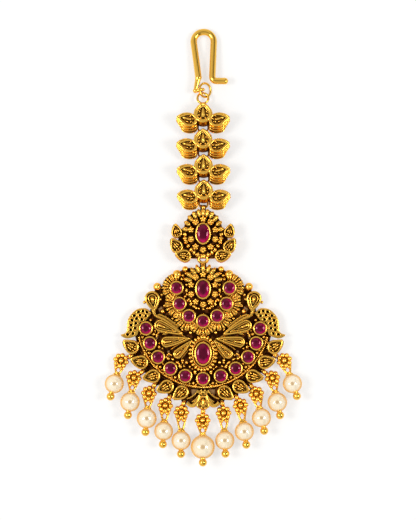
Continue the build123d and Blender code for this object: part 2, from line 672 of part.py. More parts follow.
def pearl_pin(drop):
    """Loop, cap, rod and end ball of one pearl's pin."""
    frame, reach = drop_frame(drop)
    radius = drop[6]
    top = reach - radius
    centre, apex = -PIN_LOOP_R, -(top - 0.25)
    lean = degrees(acos(PIN_LOOP_R / (centre - apex)))
    left = polar(PIN_LOOP_R, 270 - lean, (0, centre))
    right = polar(PIN_LOOP_R, 270 + lean, (0, centre))
    loop = tube(
        [
            Line((0, apex), left),
            ThreePointArc(left, (0, centre + PIN_LOOP_R), right),
        ],
        PIN_LOOP_WIRE,
    )
    leg = tube([Line(right, (0, apex))], PIN_LOOP_WIRE)
    lie = Rot(90, 0, 0)
    cap = Pos(0, -top - 0.02, 0) * lie * Cone(1.15, 0.55, 0.62)
    seat = Pos(0, -reach, 0) * Sphere(radius + GAP)
    rod_start, rod_end = top - 0.3, reach + radius + BALL_R
    rod = Pos(0, -(rod_start + rod_end) / 2, 0) * lie * Cylinder(PIN_ROD, rod_end - rod_start)
    ball = Pos(0, -(reach + radius + BALL_R + 0.06), 0) * Sphere(BALL_R)
    knob = Pos(0, apex, 0) * Sphere(0.32)
    return frame * cap.cut(seat).fuse(loop, leg, knob, rod, ball)


# ------------------------------------------------------------------------ all together
def build_all():
    parts = {"hook": hook(), "hook_ring": hook_ring()}
    for i in range(len(LINK_CENTRES)):
        parts[f"leaf_link_{i + 1}"] = leaf_link(i)
    parts["rosette_plaque"], parts["rosette_ruby"] = rosette()
    parts["pendant_plate"] = pendant_plate()
    for name, stone in STONES.items():
        parts[name] = cut_stone(*stone)
    field = [cut_stone(x, y, STONE_R, STONE_R) for x, y in ARC_RUBIES]
    parts["arc_rubies"] = Compound([shape.solid() for shape in field])
    for number, drop in enumerate(DROPS, 1):
        parts[f"drop_flower_{number}"] = drop_flower(drop)
        parts[f"pearl_{number}"] = pearl(drop)
        parts[f"pearl_pin_{number}"] = pearl_pin(drop)
    return parts


def main():
    parts = build_all()
    box = Compound([shape for part in parts.values() for shape in part.solids()]).bounding_box()
    middle = Pos(-box.center().X, -box.center().Y, -box.min.Z)
    os.makedirs("parts", exist_ok=True)
    for name, shape in parts.items():
        export_step(middle * shape, f"parts/{name}.step")


main()
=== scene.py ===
"""Temple-style maang tikka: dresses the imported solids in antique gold, ruby and pearl."""

import math

import bpy
from mathutils import Matrix, Vector


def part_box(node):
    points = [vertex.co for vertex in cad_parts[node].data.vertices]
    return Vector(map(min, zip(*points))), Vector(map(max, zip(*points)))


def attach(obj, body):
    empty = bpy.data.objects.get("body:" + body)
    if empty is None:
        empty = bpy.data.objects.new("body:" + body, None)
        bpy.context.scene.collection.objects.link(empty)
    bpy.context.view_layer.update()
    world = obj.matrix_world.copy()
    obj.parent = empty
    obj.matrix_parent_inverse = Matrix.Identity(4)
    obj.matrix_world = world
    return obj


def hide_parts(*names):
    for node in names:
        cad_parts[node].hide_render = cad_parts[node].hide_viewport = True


bl_info = {
    "name": "Temple Maang Tikka",
    "version": (1, 0, 0),
    "blender": (4, 5, 0),
    "location": "3D View > Sidebar > Tikka",
    "description": "Gold castings, cut rubies and pearl drops of a temple-style maang tikka",
    "category": "Object",
}

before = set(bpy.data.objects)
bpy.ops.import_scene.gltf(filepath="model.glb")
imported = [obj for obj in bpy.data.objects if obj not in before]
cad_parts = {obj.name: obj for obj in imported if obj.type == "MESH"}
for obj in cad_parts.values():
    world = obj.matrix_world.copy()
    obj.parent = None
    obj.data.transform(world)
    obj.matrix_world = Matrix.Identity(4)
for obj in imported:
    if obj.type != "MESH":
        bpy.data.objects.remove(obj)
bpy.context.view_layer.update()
MM = 0.001


def middle(node):
    """The middle of a node's box."""
    low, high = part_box(node)
    return (Vector(low) + Vector(high)) / 2


HOME = middle("centre_ruby").xy  # the tables below count in mm from the centre stone

LINKS = ("leaf_link_1", "leaf_link_2", "leaf_link_3", "leaf_link_4")
CRESCENT = tuple(f"crescent_ruby_{i}" for i in range(1, 12))
CRESCENT_CENTRE = (0.0, 8.07)
CROWN_CENTRE = (0.0, 15.95)
ROSETTE_CENTRE = (0.0, 29.5)
ROUND_STONES = tuple(
    ((middle(node).x - HOME.x) / MM, (middle(node).y - HOME.y) / MM) for node in CRESCENT
)
ARC_STONES = (  # x, y of the seven stones of the upper arc
    CRESCENT_CENTRE, (-6.56, 16.35), (6.56, 16.35), (-5.85, 12.4), (5.85, 12.4),
    (-3.53, 9.33), (3.53, 9.33),
)
STONE_R = 1.425  # radius of the arc's stones
OVAL_RIMS = (((0.0, 16.1), (1.78, 2.38)), ((0.0, 0.0), (1.98, 2.78)))  # centre, half sizes
ROSETTE_RIM = ((0.0, 29.57), (1.75, 2.53))
ROUND_RIM_R, RIM_WIRE, RIM_Z = 1.56, 0.23, 2.66
COLLAR, COLLAR_Z = (2.62, 3.45), 1.95  # the plain wire round the centre stone
BEAD_RING, BEADS, BEAD_Z = (3.2, 4.1), 26, 2.0
BEAD = (0.58, 0.4, 0.52)  # half sizes
DROPS = (  # lug, flower and pearl, and the pearl's radius, from the left
    ((-18.15, -0.75), (-20.5, -2.05), (-22.05, -7.5), 2.4),
    ((-15.35, -4.7), (-17.3, -6.3), (-18.15, -12.0), 2.45),
    ((-12.2, -8.0), (-13.5, -10.2), (-14.0, -16.1), 2.5),
    ((-8.4, -11.0), (-9.45, -13.2), (-9.8, -19.25), 2.36),
    ((-4.85, -12.5), (-5.4, -14.9), (-5.45, -21.6), 2.4),
    ((0.0, -14.45), (-0.1, -17.0), (-0.07, -23.15), 3.0),
    ((4.75, -12.5), (5.1, -15.1), (5.4, -21.55), 2.4),
    ((8.35, -11.0), (9.35, -13.2), (10.25, -19.35), 2.4),
    ((12.05, -8.2), (13.3, -10.3), (14.5, -15.95), 2.4),
    ((15.3, -4.7), (17.3, -6.4), (18.45, -12.05), 2.45),
    ((17.95, -0.45), (20.3, -2.0), (22.2, -7.45), 2.4),
)
LOOP_Z = 0.76  # height of the pin loops and lug rings
FAN_WAYS = (270, 180, 0, 205, -25, 240, -60)  # degrees that the fan of each arc stone faces
FAN_REACH, FAN_Z, FAN_RIB = 2.74, 1.84, (1.06, 0.29, 0.62)  # the ribs' half sizes
PETAL_Z, CROWN_PETAL, FOOT_PETAL = 1.95, (1.22, 0.53, 0.68), (0.66, 0.46, 0.55)  # half sizes
CROWN_REACH, CROWN_HEART = 3.85, (0.0, 17.4)  # how far the petals are from their own centre
PLAQUE_OVAL = (5.25, 6.3)  # half sizes of the oval that the plaque's petals fill
FLOWER, FLOWER_Z = (1.12, 1.12, 1.05), 2.12  # how much a small flower's model is scaled
CROWN_PETALS = (90, 110, 128, 147, 166, 70, 52, 33, 14)
ROSETTE_PETALS = (90, 101, 114, 129, 146, 165, 79, 66, 51, 34, 15)
ROSETTE_FOOT = (  # direction and distance of the short petals below
    (180, 4.55), (193, 4.6), (206, 4.65), (219, 4.7), (232, 4.85), (244, 5.05), (256, 5.2),
    (267, 5.45),
)
WING_PETALS = (  # round end x, y, radius; tip x, y; on the left
    (-10.7, 7.0, 1.4, -5.05, 4.8), (-9.1, 2.9, 1.3, -3.2, 3.8), (-6.3, -0.1, 1.1, -2.6, 3.4),
)
WING_Z, GROOVE_Z = 2.52, 2.3  # heights of a petal's rim, and of its grooves and drop
BIRD_HEADS = ((-12.65, 13.7, 1.85, -12.1, 10.5),)  # as the wing petals
EDGE_LEAVES = (  # x, y, direction of the tip, size; on the left
    (-17.9, 1.75, 150, 1.0), (-15.6, -2.1, 172, 1.0), (-12.6, -5.65, 196, 1.0),
    (-9.2, -8.3, 211, 1.0), (-5.5, -9.75, 225, 1.0),
)
ROSETTE_LEAVES = ((-6.6, 30.1, 108, 0.78), (-6.65, 26.5, 130, 0.9), (-4.75, 24.05, 172, 0.9))
LEAF_MARK_Z, LINK_MARK_Z, MARK_RISE = 2.3, 2.75, 0.42
LEAF_MARKS = (  # x, y, direction, half length and half width
    (0.25, 0.02, 180, 1.1, 0.31), (0.15, 0.56, 168, 0.72, 0.27), (0.15, -0.54, 192, 0.72, 0.27),
    (-0.95, 0.6, 150, 0.36, 0.31), (-1.15, 0.0, 180, 0.36, 0.31), (-0.95, -0.6, 210, 0.36, 0.31),
)
BIRD_WIRES = (  # radius, height and points of neck, throat, wing lines and back, on the left
    (0.28, 2.35, (
        (-12.6, 10.9), (-12.0, 9.7), (-10.6, 8.95), (-8.75, 7.9), (-6.75, 6.35), (-5.1, 4.8),
    )),
    (0.17, 2.2, ((-11.3, 9.65), (-10.1, 9.45), (-8.5, 8.6), (-7.2, 7.6), (-6.2, 6.5))),
    (0.15, 1.9, ((-11.3, 5.6), (-10.0, 5.3), (-8.7, 5.6), (-7.0, 5.4), (-5.1, 4.6))),
    (0.15, 1.9, ((-10.1, 4.7), (-9.2, 5.15), (-7.4, 5.0), (-5.6, 4.5), (-4.4, 4.2))),
    (0.15, 1.9, ((-9.4, 1.55), (-8.5, 1.8), (-7.0, 2.2), (-5.0, 2.95), (-3.2, 3.6))),
    (0.15, 1.9, ((-8.0, 1.0), (-7.2, 1.6), (-5.9, 2.35), (-4.4, 3.0), (-3.0, 3.6))),
    (0.15, 1.9, ((-3.3, 1.5), (-3.9, 0.6), (-4.7, -0.4), (-5.4, -1.2))),
    (0.2, 2.28, (
        (-20.4, 4.5), (-18.9, 5.35), (-18.45, 8.5), (-16.6, 10.7), (-14.4, 11.1), (-13.0, 10.05),
    )),
)
FOOT_WIRES = (  # radius, height and points of the foot's arms, knot and tulip, on the right
    (0.45, 2.15, (
        (0.75, -10.45), (0.9, -11.1), (1.45, -12.1), (2.4, -12.95), (3.3, -12.75), (3.95, -12.15),
    )),
    (0.16, 2.3, ((0.75, -10.0), (1.6, -11.15), (2.75, -12.0))),
    (0.19, 2.15, ((1.3, -9.2), (2.0, -10.1), (3.1, -10.9), (4.0, -11.2))),
    (0.27, 2.1, ((0.62, -9.0), (0.3, -9.4), (-0.3, -9.75), (-0.74, -10.1))),
    (0.24, 2.2, ((0.7, -11.6), (1.2, -12.4), (1.38, -13.1), (0.75, -13.5))),
)
GRAINS = {  # radius, then x, y of its loose grains, right half
    0.32: ((7.0, 7.7),),
    0.33: ((2.4, 11.75), (3.95, 13.2), (8.4, -0.05), (7.9, 14.9)),
    0.34: (
        (1.2, -6.2), (4.3, 19.9), (9.6, 15.9), (3.3, -3.3), (9.9, -2.6), (5.2, -6.0), (7.2, -4.9),
        (12.1, 0.3), (12.6, 4.8), (5.2, 5.9), (12.4, 15.0), (13.9, 9.4),
    ),
    0.36: (
        (2.2, 5.6), (6.2, -7.2), (9.9, -4.9), (10.2, 0.1), (12.9, 2.9), (9.3, 9.1), (7.6, 8.7),
        (10.6, 13.5), (7.5, -1.5),
    ),
    0.38: (
        (14.6, 12.75), (8.2, 10.4), (9.6, 11.9), (3.9, 6.6), (5.3, 7.6), (11.0, 1.6), (5.9, -3.0),
        (2.0, -4.9), (8.3, -6.0), (1.9, -8.1), (11.6, -3.3), (14.6, -0.3), (16.2, 2.6), (3.1, 12.2),
        (1.7, 11.3), (3.2, 13.05), (4.1, 17.1), (4.15, 15.55), (4.45, 14.2), (6.8, -4.2),
        (7.9, -2.6), (3.2, -5.9), (13.1, 8.3), (10.9, 8.0), (5.0, 19.4), (5.3, 18.5), (10.3, 14.6),
    ),
    0.4: ((12.2, 6.4), (11.5, 4.6), (9.2, -0.9), (4.2, -7.9)),
    0.42: ((6.5, -2.2),),
    0.43: ((8.9, 13.9), (5.15, -1.7)),
    0.44: ((4.1, -2.2),),
    0.48: ((3.15, 5.2),),
    0.58: ((10.1, 10.5),),
}
GRAIN_Z, BALL_Z, PIT_Z = 1.6, 1.42, 2.28
CROWN_GRAINS = (4.15, 4.9)  # half sizes of the half oval of grains below the crown stone
PANE_Z, PANE_THICKNESS = 1.15, 0.2
WEB_Z, WEB_ROOT = 0.5, 15.9  # the webs' underside, and where they begin from the crescent's centre
CRESCENT_GAPS = (9.0, 26.3, 43.0, 59.5, 75.2)  # degrees from straight down, both ways
GAP_GRAINS = (  # reach, degrees aside, radius, at each gap
    (12.75, 0.0, 0.46), (15.6, 0.0, 0.42), (12.2, -3.6, 0.3), (12.2, 3.6, 0.3),
    (15.85, -3.0, 0.26), (15.85, 3.0, 0.26), (11.55, 0.0, 0.3),
)
EDGE_BALLS = ((4.45, 21.0, 0.75), (6.45, 19.7, 1.1), (11.4, 16.6, 1.0))  # x, y, radius
PITS = (  # pits of the bird's body, on the left
    (-16.05, 10.35), (-14.95, 10.6), (-13.9, 10.35), (-17.1, 9.45), (-15.65, 9.6),
    (-14.25, 9.4), (-17.65, 8.3), (-16.55, 8.75), (-15.25, 8.5), (-17.9, 7.1),
    (-16.75, 7.55), (-17.95, 5.95), (-16.85, 6.35), (-18.75, 4.75), (-17.45, 5.0),
)
WINDOWS = (  # small flat plates of painted shade in the field, standing for shaded gaps, right half
    ((8.4, 0.75), (8.9, 0.6), (8.75, -0.9), (8.3, -0.75)),
    ((11.0, 4.6), (11.9, 4.75), (11.95, 3.8), (11.35, 3.6)),
    ((1.35, -9.0), (2.95, -8.95), (2.8, -10.6), (2.2, -10.35)),
    ((10.35, 11.7), (11.2, 11.1), (10.8, 10.2), (10.0, 10.9)),
    ((4.6, -4.2), (5.2, -4.0), (5.1, -5.0), (4.65, -5.05)),
)
LINK_PLACES = (  # x, y of a link's rings, y of its pivot
    (0, 59.95, 63.8), (0, 53.55, 57.49), (0.1, 47.2, 51.09), (0.17, 40.9, 44.74),
)
HANGING_RINGS = (  # radius, thickness, height, centre; all but the first tilt with the plaque
    (1.3, 0.28, 0.8, (0.0, 23.75)), (1.1, 0.25, 0.35, (0.1, 37.34)), (1.05, 0.3, 1.5, (0.0, 23.5)),
)
TOP_RING = (1.35, 0.29, 1.15, (-0.05, 63.27))  # the same; it tilts with the first link
JUMP_RING_PLACE, JUMP_RING_TILT = (0.5, 65.6, 1.3), 37
LINK_DROP = 1.0  # a link's body hangs below the middle of its rings
LINK_MARKS = (  # x, y, direction, half length and half width, right half
    (0.85, 0.3, 90, 0.32, 0.28), (1.0, -0.6, 90, 0.34, 0.3), (0.55, -1.35, 0, 0.32, 0.28),
    (4.3, -1.45, 22, 0.95, 0.34), (3.0, -0.85, 0, 0.32, 0.28), (3.9, -2.35, 0, 0.3, 0.26),
    (3.0, -2.4, 0, 0.32, 0.28), (2.45, -1.65, 0, 0.3, 0.28), (3.2, -1.65, 0, 0.26, 0.24),
)
LINK_TILT = (0.5, 13.0)  # height of a link's pivot, degrees
PLAQUE_TILT = (38.44, 0.45, 5.0)  # y and height of the plaque's pivot, degrees
FLAT = (0.0, 0.0, 0.0)  # the same for the pendant, which lies flat
FIELD_LOW, FIELD_HIGH = 1.30, 1.95  # heights of the field's ground and of its reliefs
ROPE_R, ROPE_FROM, ROPE_SWEEP = 16.45, 194, 152  # arc of the rope wire, in mm and degrees
ROPE_TWIST_R, ROPE_Z, ROPE_TURNS, ROPE_STEPS = 0.15, 1.74, 46, 460
LAMP, LAMP_SIZE = (0.34, -0.01, 0.45), 0.19  # the right lamp's place and width, in metres
AIM = (1.225, 23.275)  # x, y under the camera
VIEW_WIDTH, SENSOR = 0.130, 36.0  # floor that the camera sees, in metres; its sensor


# --- settings to change
def colour_setting(name, description, default):
    return bpy.props.FloatVectorProperty(
        name=name, description=description, subtype="COLOR", size=3, min=0.0, max=1.0,
        default=default,
    )


class TikkaGold(bpy.types.PropertyGroup):
    light: colour_setting("High Points", "Colour of the rubbed gold", (1.0, 0.6, 0.098))
    deep: colour_setting("Body", "Colour of the gold lower down", (0.64, 0.25, 0.02))
    patina: colour_setting("Patina", "Colour of the dark recesses", (0.018, 0.004, 0.001))
    reach: bpy.props.FloatProperty(
        name="Patina Reach", description="How wide a recess fills with patina",
        unit="LENGTH", default=0.0011, min=0.0001, max=0.005,
    )


class TikkaRuby(bpy.types.PropertyGroup):
    colour: colour_setting("Ruby", "Body colour of the stones", (0.055, 0.0, 0.008))
    # Painted light: the glow inside the rims is painted into the stones' base colour.
    glow: colour_setting(
        "Ruby Glow", "Colour of the light inside the stones' rims", (0.48, 0.0, 0.095)
    )


class TikkaPearl(bpy.types.PropertyGroup):
    colour: colour_setting("Pearl", "Body colour of the pearls", (0.89, 0.75, 0.52))


class TikkaStage(bpy.types.PropertyGroup):
    distance: bpy.props.FloatProperty(
        name="Camera Distance", description="Height of the camera above the floor",
        unit="LENGTH", default=0.40, min=0.1, max=2.0,
    )
    lamp_power: bpy.props.FloatProperty(
        name="Lamp Power", description="Power of each soft light", unit="POWER",
        default=1.25, min=0.0, max=100.0,
    )


# --- shader building
class Wire:
    """An output of a node that reads as a number, so that shader maths is plain arithmetic."""

    def __init__(self, finish, node, output=0):
        self.finish = finish
        self.node = node
        self.output = output

    def __getitem__(self, output):
        """Another output of the same node, by name or number."""
        return Wire(self.finish, self.node, output)

    def maths(self, operation, *values, clamp=False):
        sockets = dict(enumerate(values))
        return self.finish.node("Math", sockets, operation=operation, use_clamp=clamp)

    def __add__(self, other):
        return self.maths("ADD", self, other)

    def __sub__(self, other):
        return self.maths("SUBTRACT", self, other)

    def __rsub__(self, other):
        return self.maths("SUBTRACT", other, self)

    def __mul__(self, other):
        return self.maths("MULTIPLY", self, other)

    def clamped(self):
        return self.maths("ADD", self, 0.0, clamp=True)


class Finish:
    """One material, or the air around the stage, and its nodes."""

    def __init__(self, name, home=None):
        self.material = home or bpy.data.materials.new(name)
        self.material.use_nodes = True
        self.tree = self.material.node_tree
        self.tree.nodes.clear()

    def node(self, kind, sockets=None, **settings):
        """Add a node: its settings first, then the links or values of its sockets."""
        node = self.tree.nodes.new("ShaderNode" + kind)
        for name, value in settings.items():
            setattr(node, name, value)
        for key, value in (sockets or {}).items():
            socket = node.inputs[key]
            if isinstance(value, Wire):
                self.tree.links.new(value.node.outputs[value.output], socket)
            elif socket.type == "RGBA":
                socket.default_value = (*value, 1.0)
            elif value is not None:
                socket.default_value = value
        return Wire(self, node)

    def place(self, kind="Object"):
        return self.node("TexCoord")[kind]

    def split(self, vector):
        return self.node("SeparateXYZ", {"Vector": vector})

    def noise(self, scale, detail=2.0):
        """Soft cloudiness from 0 to 1, finer with a larger scale."""
        return self.node("TexNoise", {
            "Vector": self.place(), "Scale": scale, "Detail": detail, "Roughness": 0.55,
        })["Fac"]

    def fade(self, value, low, high):
        """0 below low, 1 above high, smooth between."""
        sockets = {"Value": value, "From Min": low, "From Max": high}
        return self.node("MapRange", sockets, interpolation_type="SMOOTHSTEP")

    def blend(self, share, first, second):
        """A colour between two colours."""
        return self.node("Mix", {0: share, 6: first, 7: second}, data_type="RGBA")[2]

    def vectors(self, operation, first, second=None):
        return self.node("VectorMath", {0: first, 1: second}, operation=operation)

    def openness(self, distance, normal=None):
        """1 on open ground, less in a recess."""
        sockets = {"Distance": distance, "Normal": normal}
        return self.node("AmbientOcclusion", sockets, samples=8)["AO"]

    def rounded(self, radius):
        """The way the surface faces, its edges rounded by a radius in metres."""
        return self.node("Bevel", {"Radius": radius}, samples=4)["Normal"]

    def bump(self, height, strength, distance, normal=None):
        return self.node("Bump", {
            "Height": height, "Strength": strength, "Distance": distance, "Normal": normal,
        })

    def surface(self, sockets):
        self.node("OutputMaterial", {"Surface": self.node("BsdfPrincipled", sockets)})
        return self.material


def antique_gold(name, wear, reach=None, field=None):
    """Cast gold, rubbed bright on its high points, with dark patina in the recesses; with a wide
    reach the same darkening also paints shade under and between parts.

    A casting with a field gives the tilt of its ground, which then stays dark.
    """
    gold = bpy.context.scene.tikka_gold
    f = Finish(name)
    edge = f.rounded(0.07 * MM)
    # Darkens recesses: patina, and also painted shade where the reach is wide.
    open_air = f.openness(reach or gold.reach, edge)
    cloud = f.noise(420.0, 3.0)
    pits = f.noise(5200.0)
    dents = f.noise(1500.0)
    height = open_air + (cloud - 0.5) * 0.30 + (pits - 0.5) * 0.20
    if field:
        place = f.split(f.place())
        pivot_y, pivot_z, degrees = field
        along = (place["Y"] - (HOME.y + pivot_y * MM)) * math.sin(math.radians(degrees))
        level = along + (place["Z"] - pivot_z * MM) * math.cos(math.radians(degrees))
        raised = f.fade(level + (cloud - 0.5) * 0.0003, FIELD_LOW * MM, FIELD_HIGH * MM)
        height = height * (raised * 0.90 + 0.10)
        flat = f.node("NewGeometry")["Normal"]
        close = f.vectors("DOT_PRODUCT", f.rounded(0.22 * MM), flat)["Value"]
        height = height + f.fade(1.0 - close, 0.02, 0.16) * open_air * 0.55
        upward = f.split(flat)["Z"]
        wall = (1.0 - f.fade(upward, 0.25, 0.6)) * (1.0 - f.fade(level, 1.0 * MM, 1.15 * MM))
        height = height * (1.0 - wall) + ((cloud - 0.5) * 0.5 + 0.58) * wall
    rubbed = f.fade(height, wear - 0.05, wear + 0.34)
    clean = f.fade(height, wear - 0.28, wear + 0.08)
    body = f.blend(rubbed, gold.deep, gold.light)
    crust = f.blend(f.fade(f.noise(760.0), 0.50, 0.66), gold.patina, (0.13, 0.042, 0.010))
    return f.surface({
        "Base Color": f.blend(clean, crust, body),
        "Metallic": clean * 0.8 + 0.2,
        "Roughness": 0.60 - clean * 0.38 + (pits - 0.5) * 0.10,
        "Specular IOR Level": 0.10,
        "Specular Tint": (1.0, 0.4, 0.08),
        "Normal": f.bump(dents, 0.55, 0.05 * MM, f.bump(pits, 0.3, 0.02 * MM, edge)),
    })


def polished_gold(name):
    """Bright wire and balls: smooth gold with a soft dark film only in the corners."""
    gold = bpy.context.scene.tikka_gold
    f = Finish(name)
    cloud = f.noise(500.0, 3.0)
    scratches = f.noise(7000.0)
    clean = f.fade(f.openness(0.6 * MM) + (cloud - 0.5) * 0.2, 0.15, 0.55)
    body = f.blend(cloud, gold.deep, gold.light)
    return f.surface({
        "Base Color": f.blend(clean, (0.12, 0.04, 0.006), f.blend(0.8, body, gold.light)),
        "Metallic": 1.0,
        "Roughness": 0.26 - clean * 0.12 + (scratches - 0.5) * 0.06,
        "Normal": f.bump(scratches, 0.12, 0.02 * MM),
    })


def ruby_glass(name):
    """Crimson stone: a dark heart, facets that differ, and painted light: a magenta glow at the rim,
    brighter towards one side.
    """
    ruby = bpy.context.scene.tikka_ruby
    f = Finish(name)
    cut = f.node("Attribute", attribute_name="cut")["Vector"]
    facets = f.node("TexVoronoi", {"Vector": cut, "Scale": 2.3}, voronoi_dimensions="3D")["Color"]
    shade = f.node("SeparateColor", {"Color": facets})
    reach = f.vectors("LENGTH", f.vectors("MULTIPLY", cut, (1, 1, 0)))["Value"]
    side = f.split(cut)
    # Painted light: the rim glow, stronger on one side of each stone and flecked by facet, painted
    # into the base colour.
    lit = side["X"] * 0.25 - side["Y"] * 0.5 + 0.5
    glow = f.fade(reach, 0.40, 0.92) * lit + (shade["Red"] - 0.5) * 0.30
    body = f.blend(f.fade(shade["Green"], 0.5, 0.9) * 0.5, ruby.colour, (0.11, 0.001, 0.018))
    colour = f.blend(glow.clamped(), body, ruby.glow)
    return f.surface({
        "Base Color": f.blend(f.fade(reach, 0.9, 1.0) * 0.7, colour, (0.10, 0.0, 0.012)),
        "Roughness": shade["Blue"] * 0.06 + 0.14,
        "IOR": 1.5,
        "Specular IOR Level": 0.4,
        "Specular Tint": (1.0, 0.04, 0.25),
        "Coat Weight": 0.45,
        "Coat Roughness": 0.05,
        "Coat IOR": 1.5,
    })


def pearl_lustre(name):
    """Cream pearl with faint cloudiness and a soft sheen; painted light: a golden sheen towards its
    rim and a tan reflection spot where it faces the viewer.
    """
    pearl = bpy.context.scene.tikka_pearl
    f = Finish(name)
    cloud = f.noise(260.0, 3.0)
    rim = f.node("LayerWeight", {"Blend": 0.30})["Facing"]
    body = f.blend(f.fade(cloud, 0.3, 0.75), pearl.colour, (0.92, 0.83, 0.66))
    # Painted reflection: a tan spot where the pearl faces the viewer, standing for the dark overhead
    # mirrored in it.
    heart = f.blend(f.fade(rim, 0.002, 0.020), (0.60, 0.40, 0.19), body)
    return f.surface({
        # Painted sheen: golden towards the rim, where the pearl turns away from the viewer.
        "Base Color": f.blend(f.fade(rim, 0.12, 0.42), heart, (0.86, 0.46, 0.095)),
        "Roughness": cloud * 0.08 + 0.20,
        "Specular IOR Level": 0.35,
        "Specular Tint": (1.0, 0.75, 0.4),
        "Coat Weight": 1.0 - f.fade(rim, 0.10, 0.40) * 0.92,
        "Coat Roughness": 0.06,
        "Coat IOR": 2.1,
        "Normal": f.bump(f.noise(1800.0), 0.04, 0.02 * MM),
    })


def painted_shade_ground(name):
    """Painted shade: flat tan ground in small windows of the field, standing for the shaded floor
    seen through gaps.
    """
    f = Finish(name)
    fine = f.noise(5200.0)
    return f.surface({
        "Base Color": f.blend(f.noise(900.0, 3.0), (0.20, 0.11, 0.04), (0.36, 0.23, 0.10)),
        "Roughness": fine * 0.15 + 0.42,
        "Specular IOR Level": 0.12,
        "Normal": f.bump(fine, 0.2, 0.02 * MM),
    })


FINISHES = {
    # Wide reach: partly patina, partly painted shade under and between the links' parts.
    "cast_gold": lambda name: antique_gold(name, 0.50, reach=3.0 * MM),
    "rubbed_gold": lambda name: antique_gold(name, 0.40),
    "field_gold": lambda name: antique_gold(name, 0.46, field=FLAT),
    "plaque_gold": lambda name: antique_gold(name, 0.46, field=PLAQUE_TILT),
    "dark_crust": lambda name: antique_gold(name, 1.4),
    "wire_gold": polished_gold,
    "tan_horn": painted_shade_ground,
    "crimson_stone": ruby_glass,
    "cream_lustre": pearl_lustre,
}


# --- making pieces
def hand_over(piece, finish="rubbed_gold", nodes=()):
    """Give a finished piece its finish, its body and the nodes that it stands for."""
    piece.data.materials.clear()
    piece.data.materials.append(bpy.data.materials.get(finish) or FINISHES[finish](finish))
    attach(piece, "root")
    if nodes:
        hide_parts(*nodes)


def new_piece(name, data):
    piece = bpy.data.objects.new(name, data)
    bpy.context.scene.collection.objects.link(piece)
    return piece


def discard(*pieces):
    for piece in pieces:
        mesh = piece.data
        bpy.data.objects.remove(piece)
        bpy.data.meshes.remove(mesh)


def select_only(piece):
    if bpy.context.object and bpy.context.object.mode != "OBJECT":
        bpy.ops.object.mode_set(mode="OBJECT")
    bpy.ops.object.select_all(action="DESELECT")
    piece.select_set(True)
    bpy.context.view_layer.objects.active = piece


def edit(piece, action="SELECT"):
    """Open a piece in edit mode with all of it selected, or nothing."""
    select_only(piece)
    bpy.ops.object.mode_set(mode="EDIT")
    bpy.ops.mesh.select_mode(type="VERT")
    bpy.ops.mesh.select_all(action=action)


def pick(piece, test):
    """Select a piece's points by a test, and stay in edit mode."""
    edit(piece, "DESELECT")
    bpy.ops.object.mode_set(mode="OBJECT")
    for point in piece.data.vertices:
        point.select = test(point.co)
    bpy.ops.object.mode_set(mode="EDIT")


def resize(*value):
    """Scale what is picked about the origin."""
    bpy.ops.transform.resize(value=value, center_override=(0, 0, 0))


def face_outward():
    """Turn all faces outward and leave edit mode."""
    bpy.ops.mesh.select_all(action="SELECT")
    bpy.ops.mesh.normals_make_consistent(inside=False)
    bpy.ops.object.mode_set(mode="OBJECT")


def smooth(angle=None):
    """Shade the active piece smooth, or smooth except at edges sharper than an angle."""
    bpy.ops.object.mode_set(mode="OBJECT")
    if angle:
        bpy.ops.object.shade_smooth_by_angle(angle=math.radians(angle))
    else:
        bpy.ops.object.shade_smooth()


def named(piece, name):
    piece.name = name
    piece.data.name = name
    return piece


def merged_copy(node, name):
    """A copy of a solid with its faces joined, smooth except at real edges."""
    piece = named(new_piece(name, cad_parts[node].data.copy()), name)
    select_only(piece)
    bpy.ops.mesh.customdata_custom_splitnormals_clear()
    edit(piece)
    bpy.ops.mesh.remove_doubles(threshold=1e-6)
    smooth(34.0)
    return piece


def copy_at(model, matrix, name="copy"):
    """A copy of a modelled piece with its own mesh, put in its place."""
    piece = new_piece(name, model.data.copy())
    piece.data.transform(matrix)
    return piece


def joined(pieces, name):
    select_only(pieces[0])
    for piece in pieces:
        piece.select_set(True)
    bpy.ops.object.join()
    return named(bpy.context.object, name)


def scattered(model, name, places):
    """Copies of a model in their places, joined to one piece; the model is used up."""
    whole = joined([copy_at(model, place) for place in places], name)
    discard(model)
    return whole


def added(name="part"):
    """The primitive just added, named, with its place moved into its mesh."""
    bpy.ops.object.transform_apply(location=True, rotation=True, scale=True)
    return named(bpy.context.object, name)


def sphere(segments, rings, radius=1.0, location=(0, 0, 0)):
    """A ball, in metres, or of radius 1."""
    bpy.ops.mesh.primitive_uv_sphere_add(
        segments=segments, ring_count=rings, radius=radius, location=location
    )
    return added()


def torus(radius, thickness, location, rotation=(0, 0, 0)):
    """A small ring; its radius and thickness in mm, its place in metres."""
    bpy.ops.mesh.primitive_torus_add(
        major_radius=radius * MM, minor_radius=thickness * MM, major_segments=28,
        minor_segments=10, location=location, rotation=rotation,
    )
    return added()


def grain_model(segments=14, rings=10):
    """A smooth ball of radius 1."""
    grain = sphere(segments, rings)
    smooth()
    return grain


def rib_model():
    """A rounded rib, full towards +X and drawn in towards -X."""
    rib = grain_model(16, 10)
    for limit, share in ((0.2, 0.88), (-0.35, 0.8), (-0.75, 0.75)):
        pick(rib, lambda place: place.x < limit)
        resize(1, share, 1)
    bpy.ops.object.mode_set(mode="OBJECT")
    return rib


def marks_of(rows, z):
    """Small ribs on a model, from rows of x, y, direction, half length and half width."""
    rib = rib_model()
    marks = [
        copy_at(rib, spot(x, y, z, turn, (half_length, half_width, MARK_RISE), True))
        for x, y, turn, half_length, half_width in rows
    ]
    discard(rib)
    return marks


# --- places
def at(x, y, z=0.0, model=False):
    """A place in metres, given in mm from the centre stone, or about a model's origin."""
    home = Vector((0.0, 0.0)) if model else HOME
    return Vector((home.x + x * MM, home.y + y * MM, z * MM))


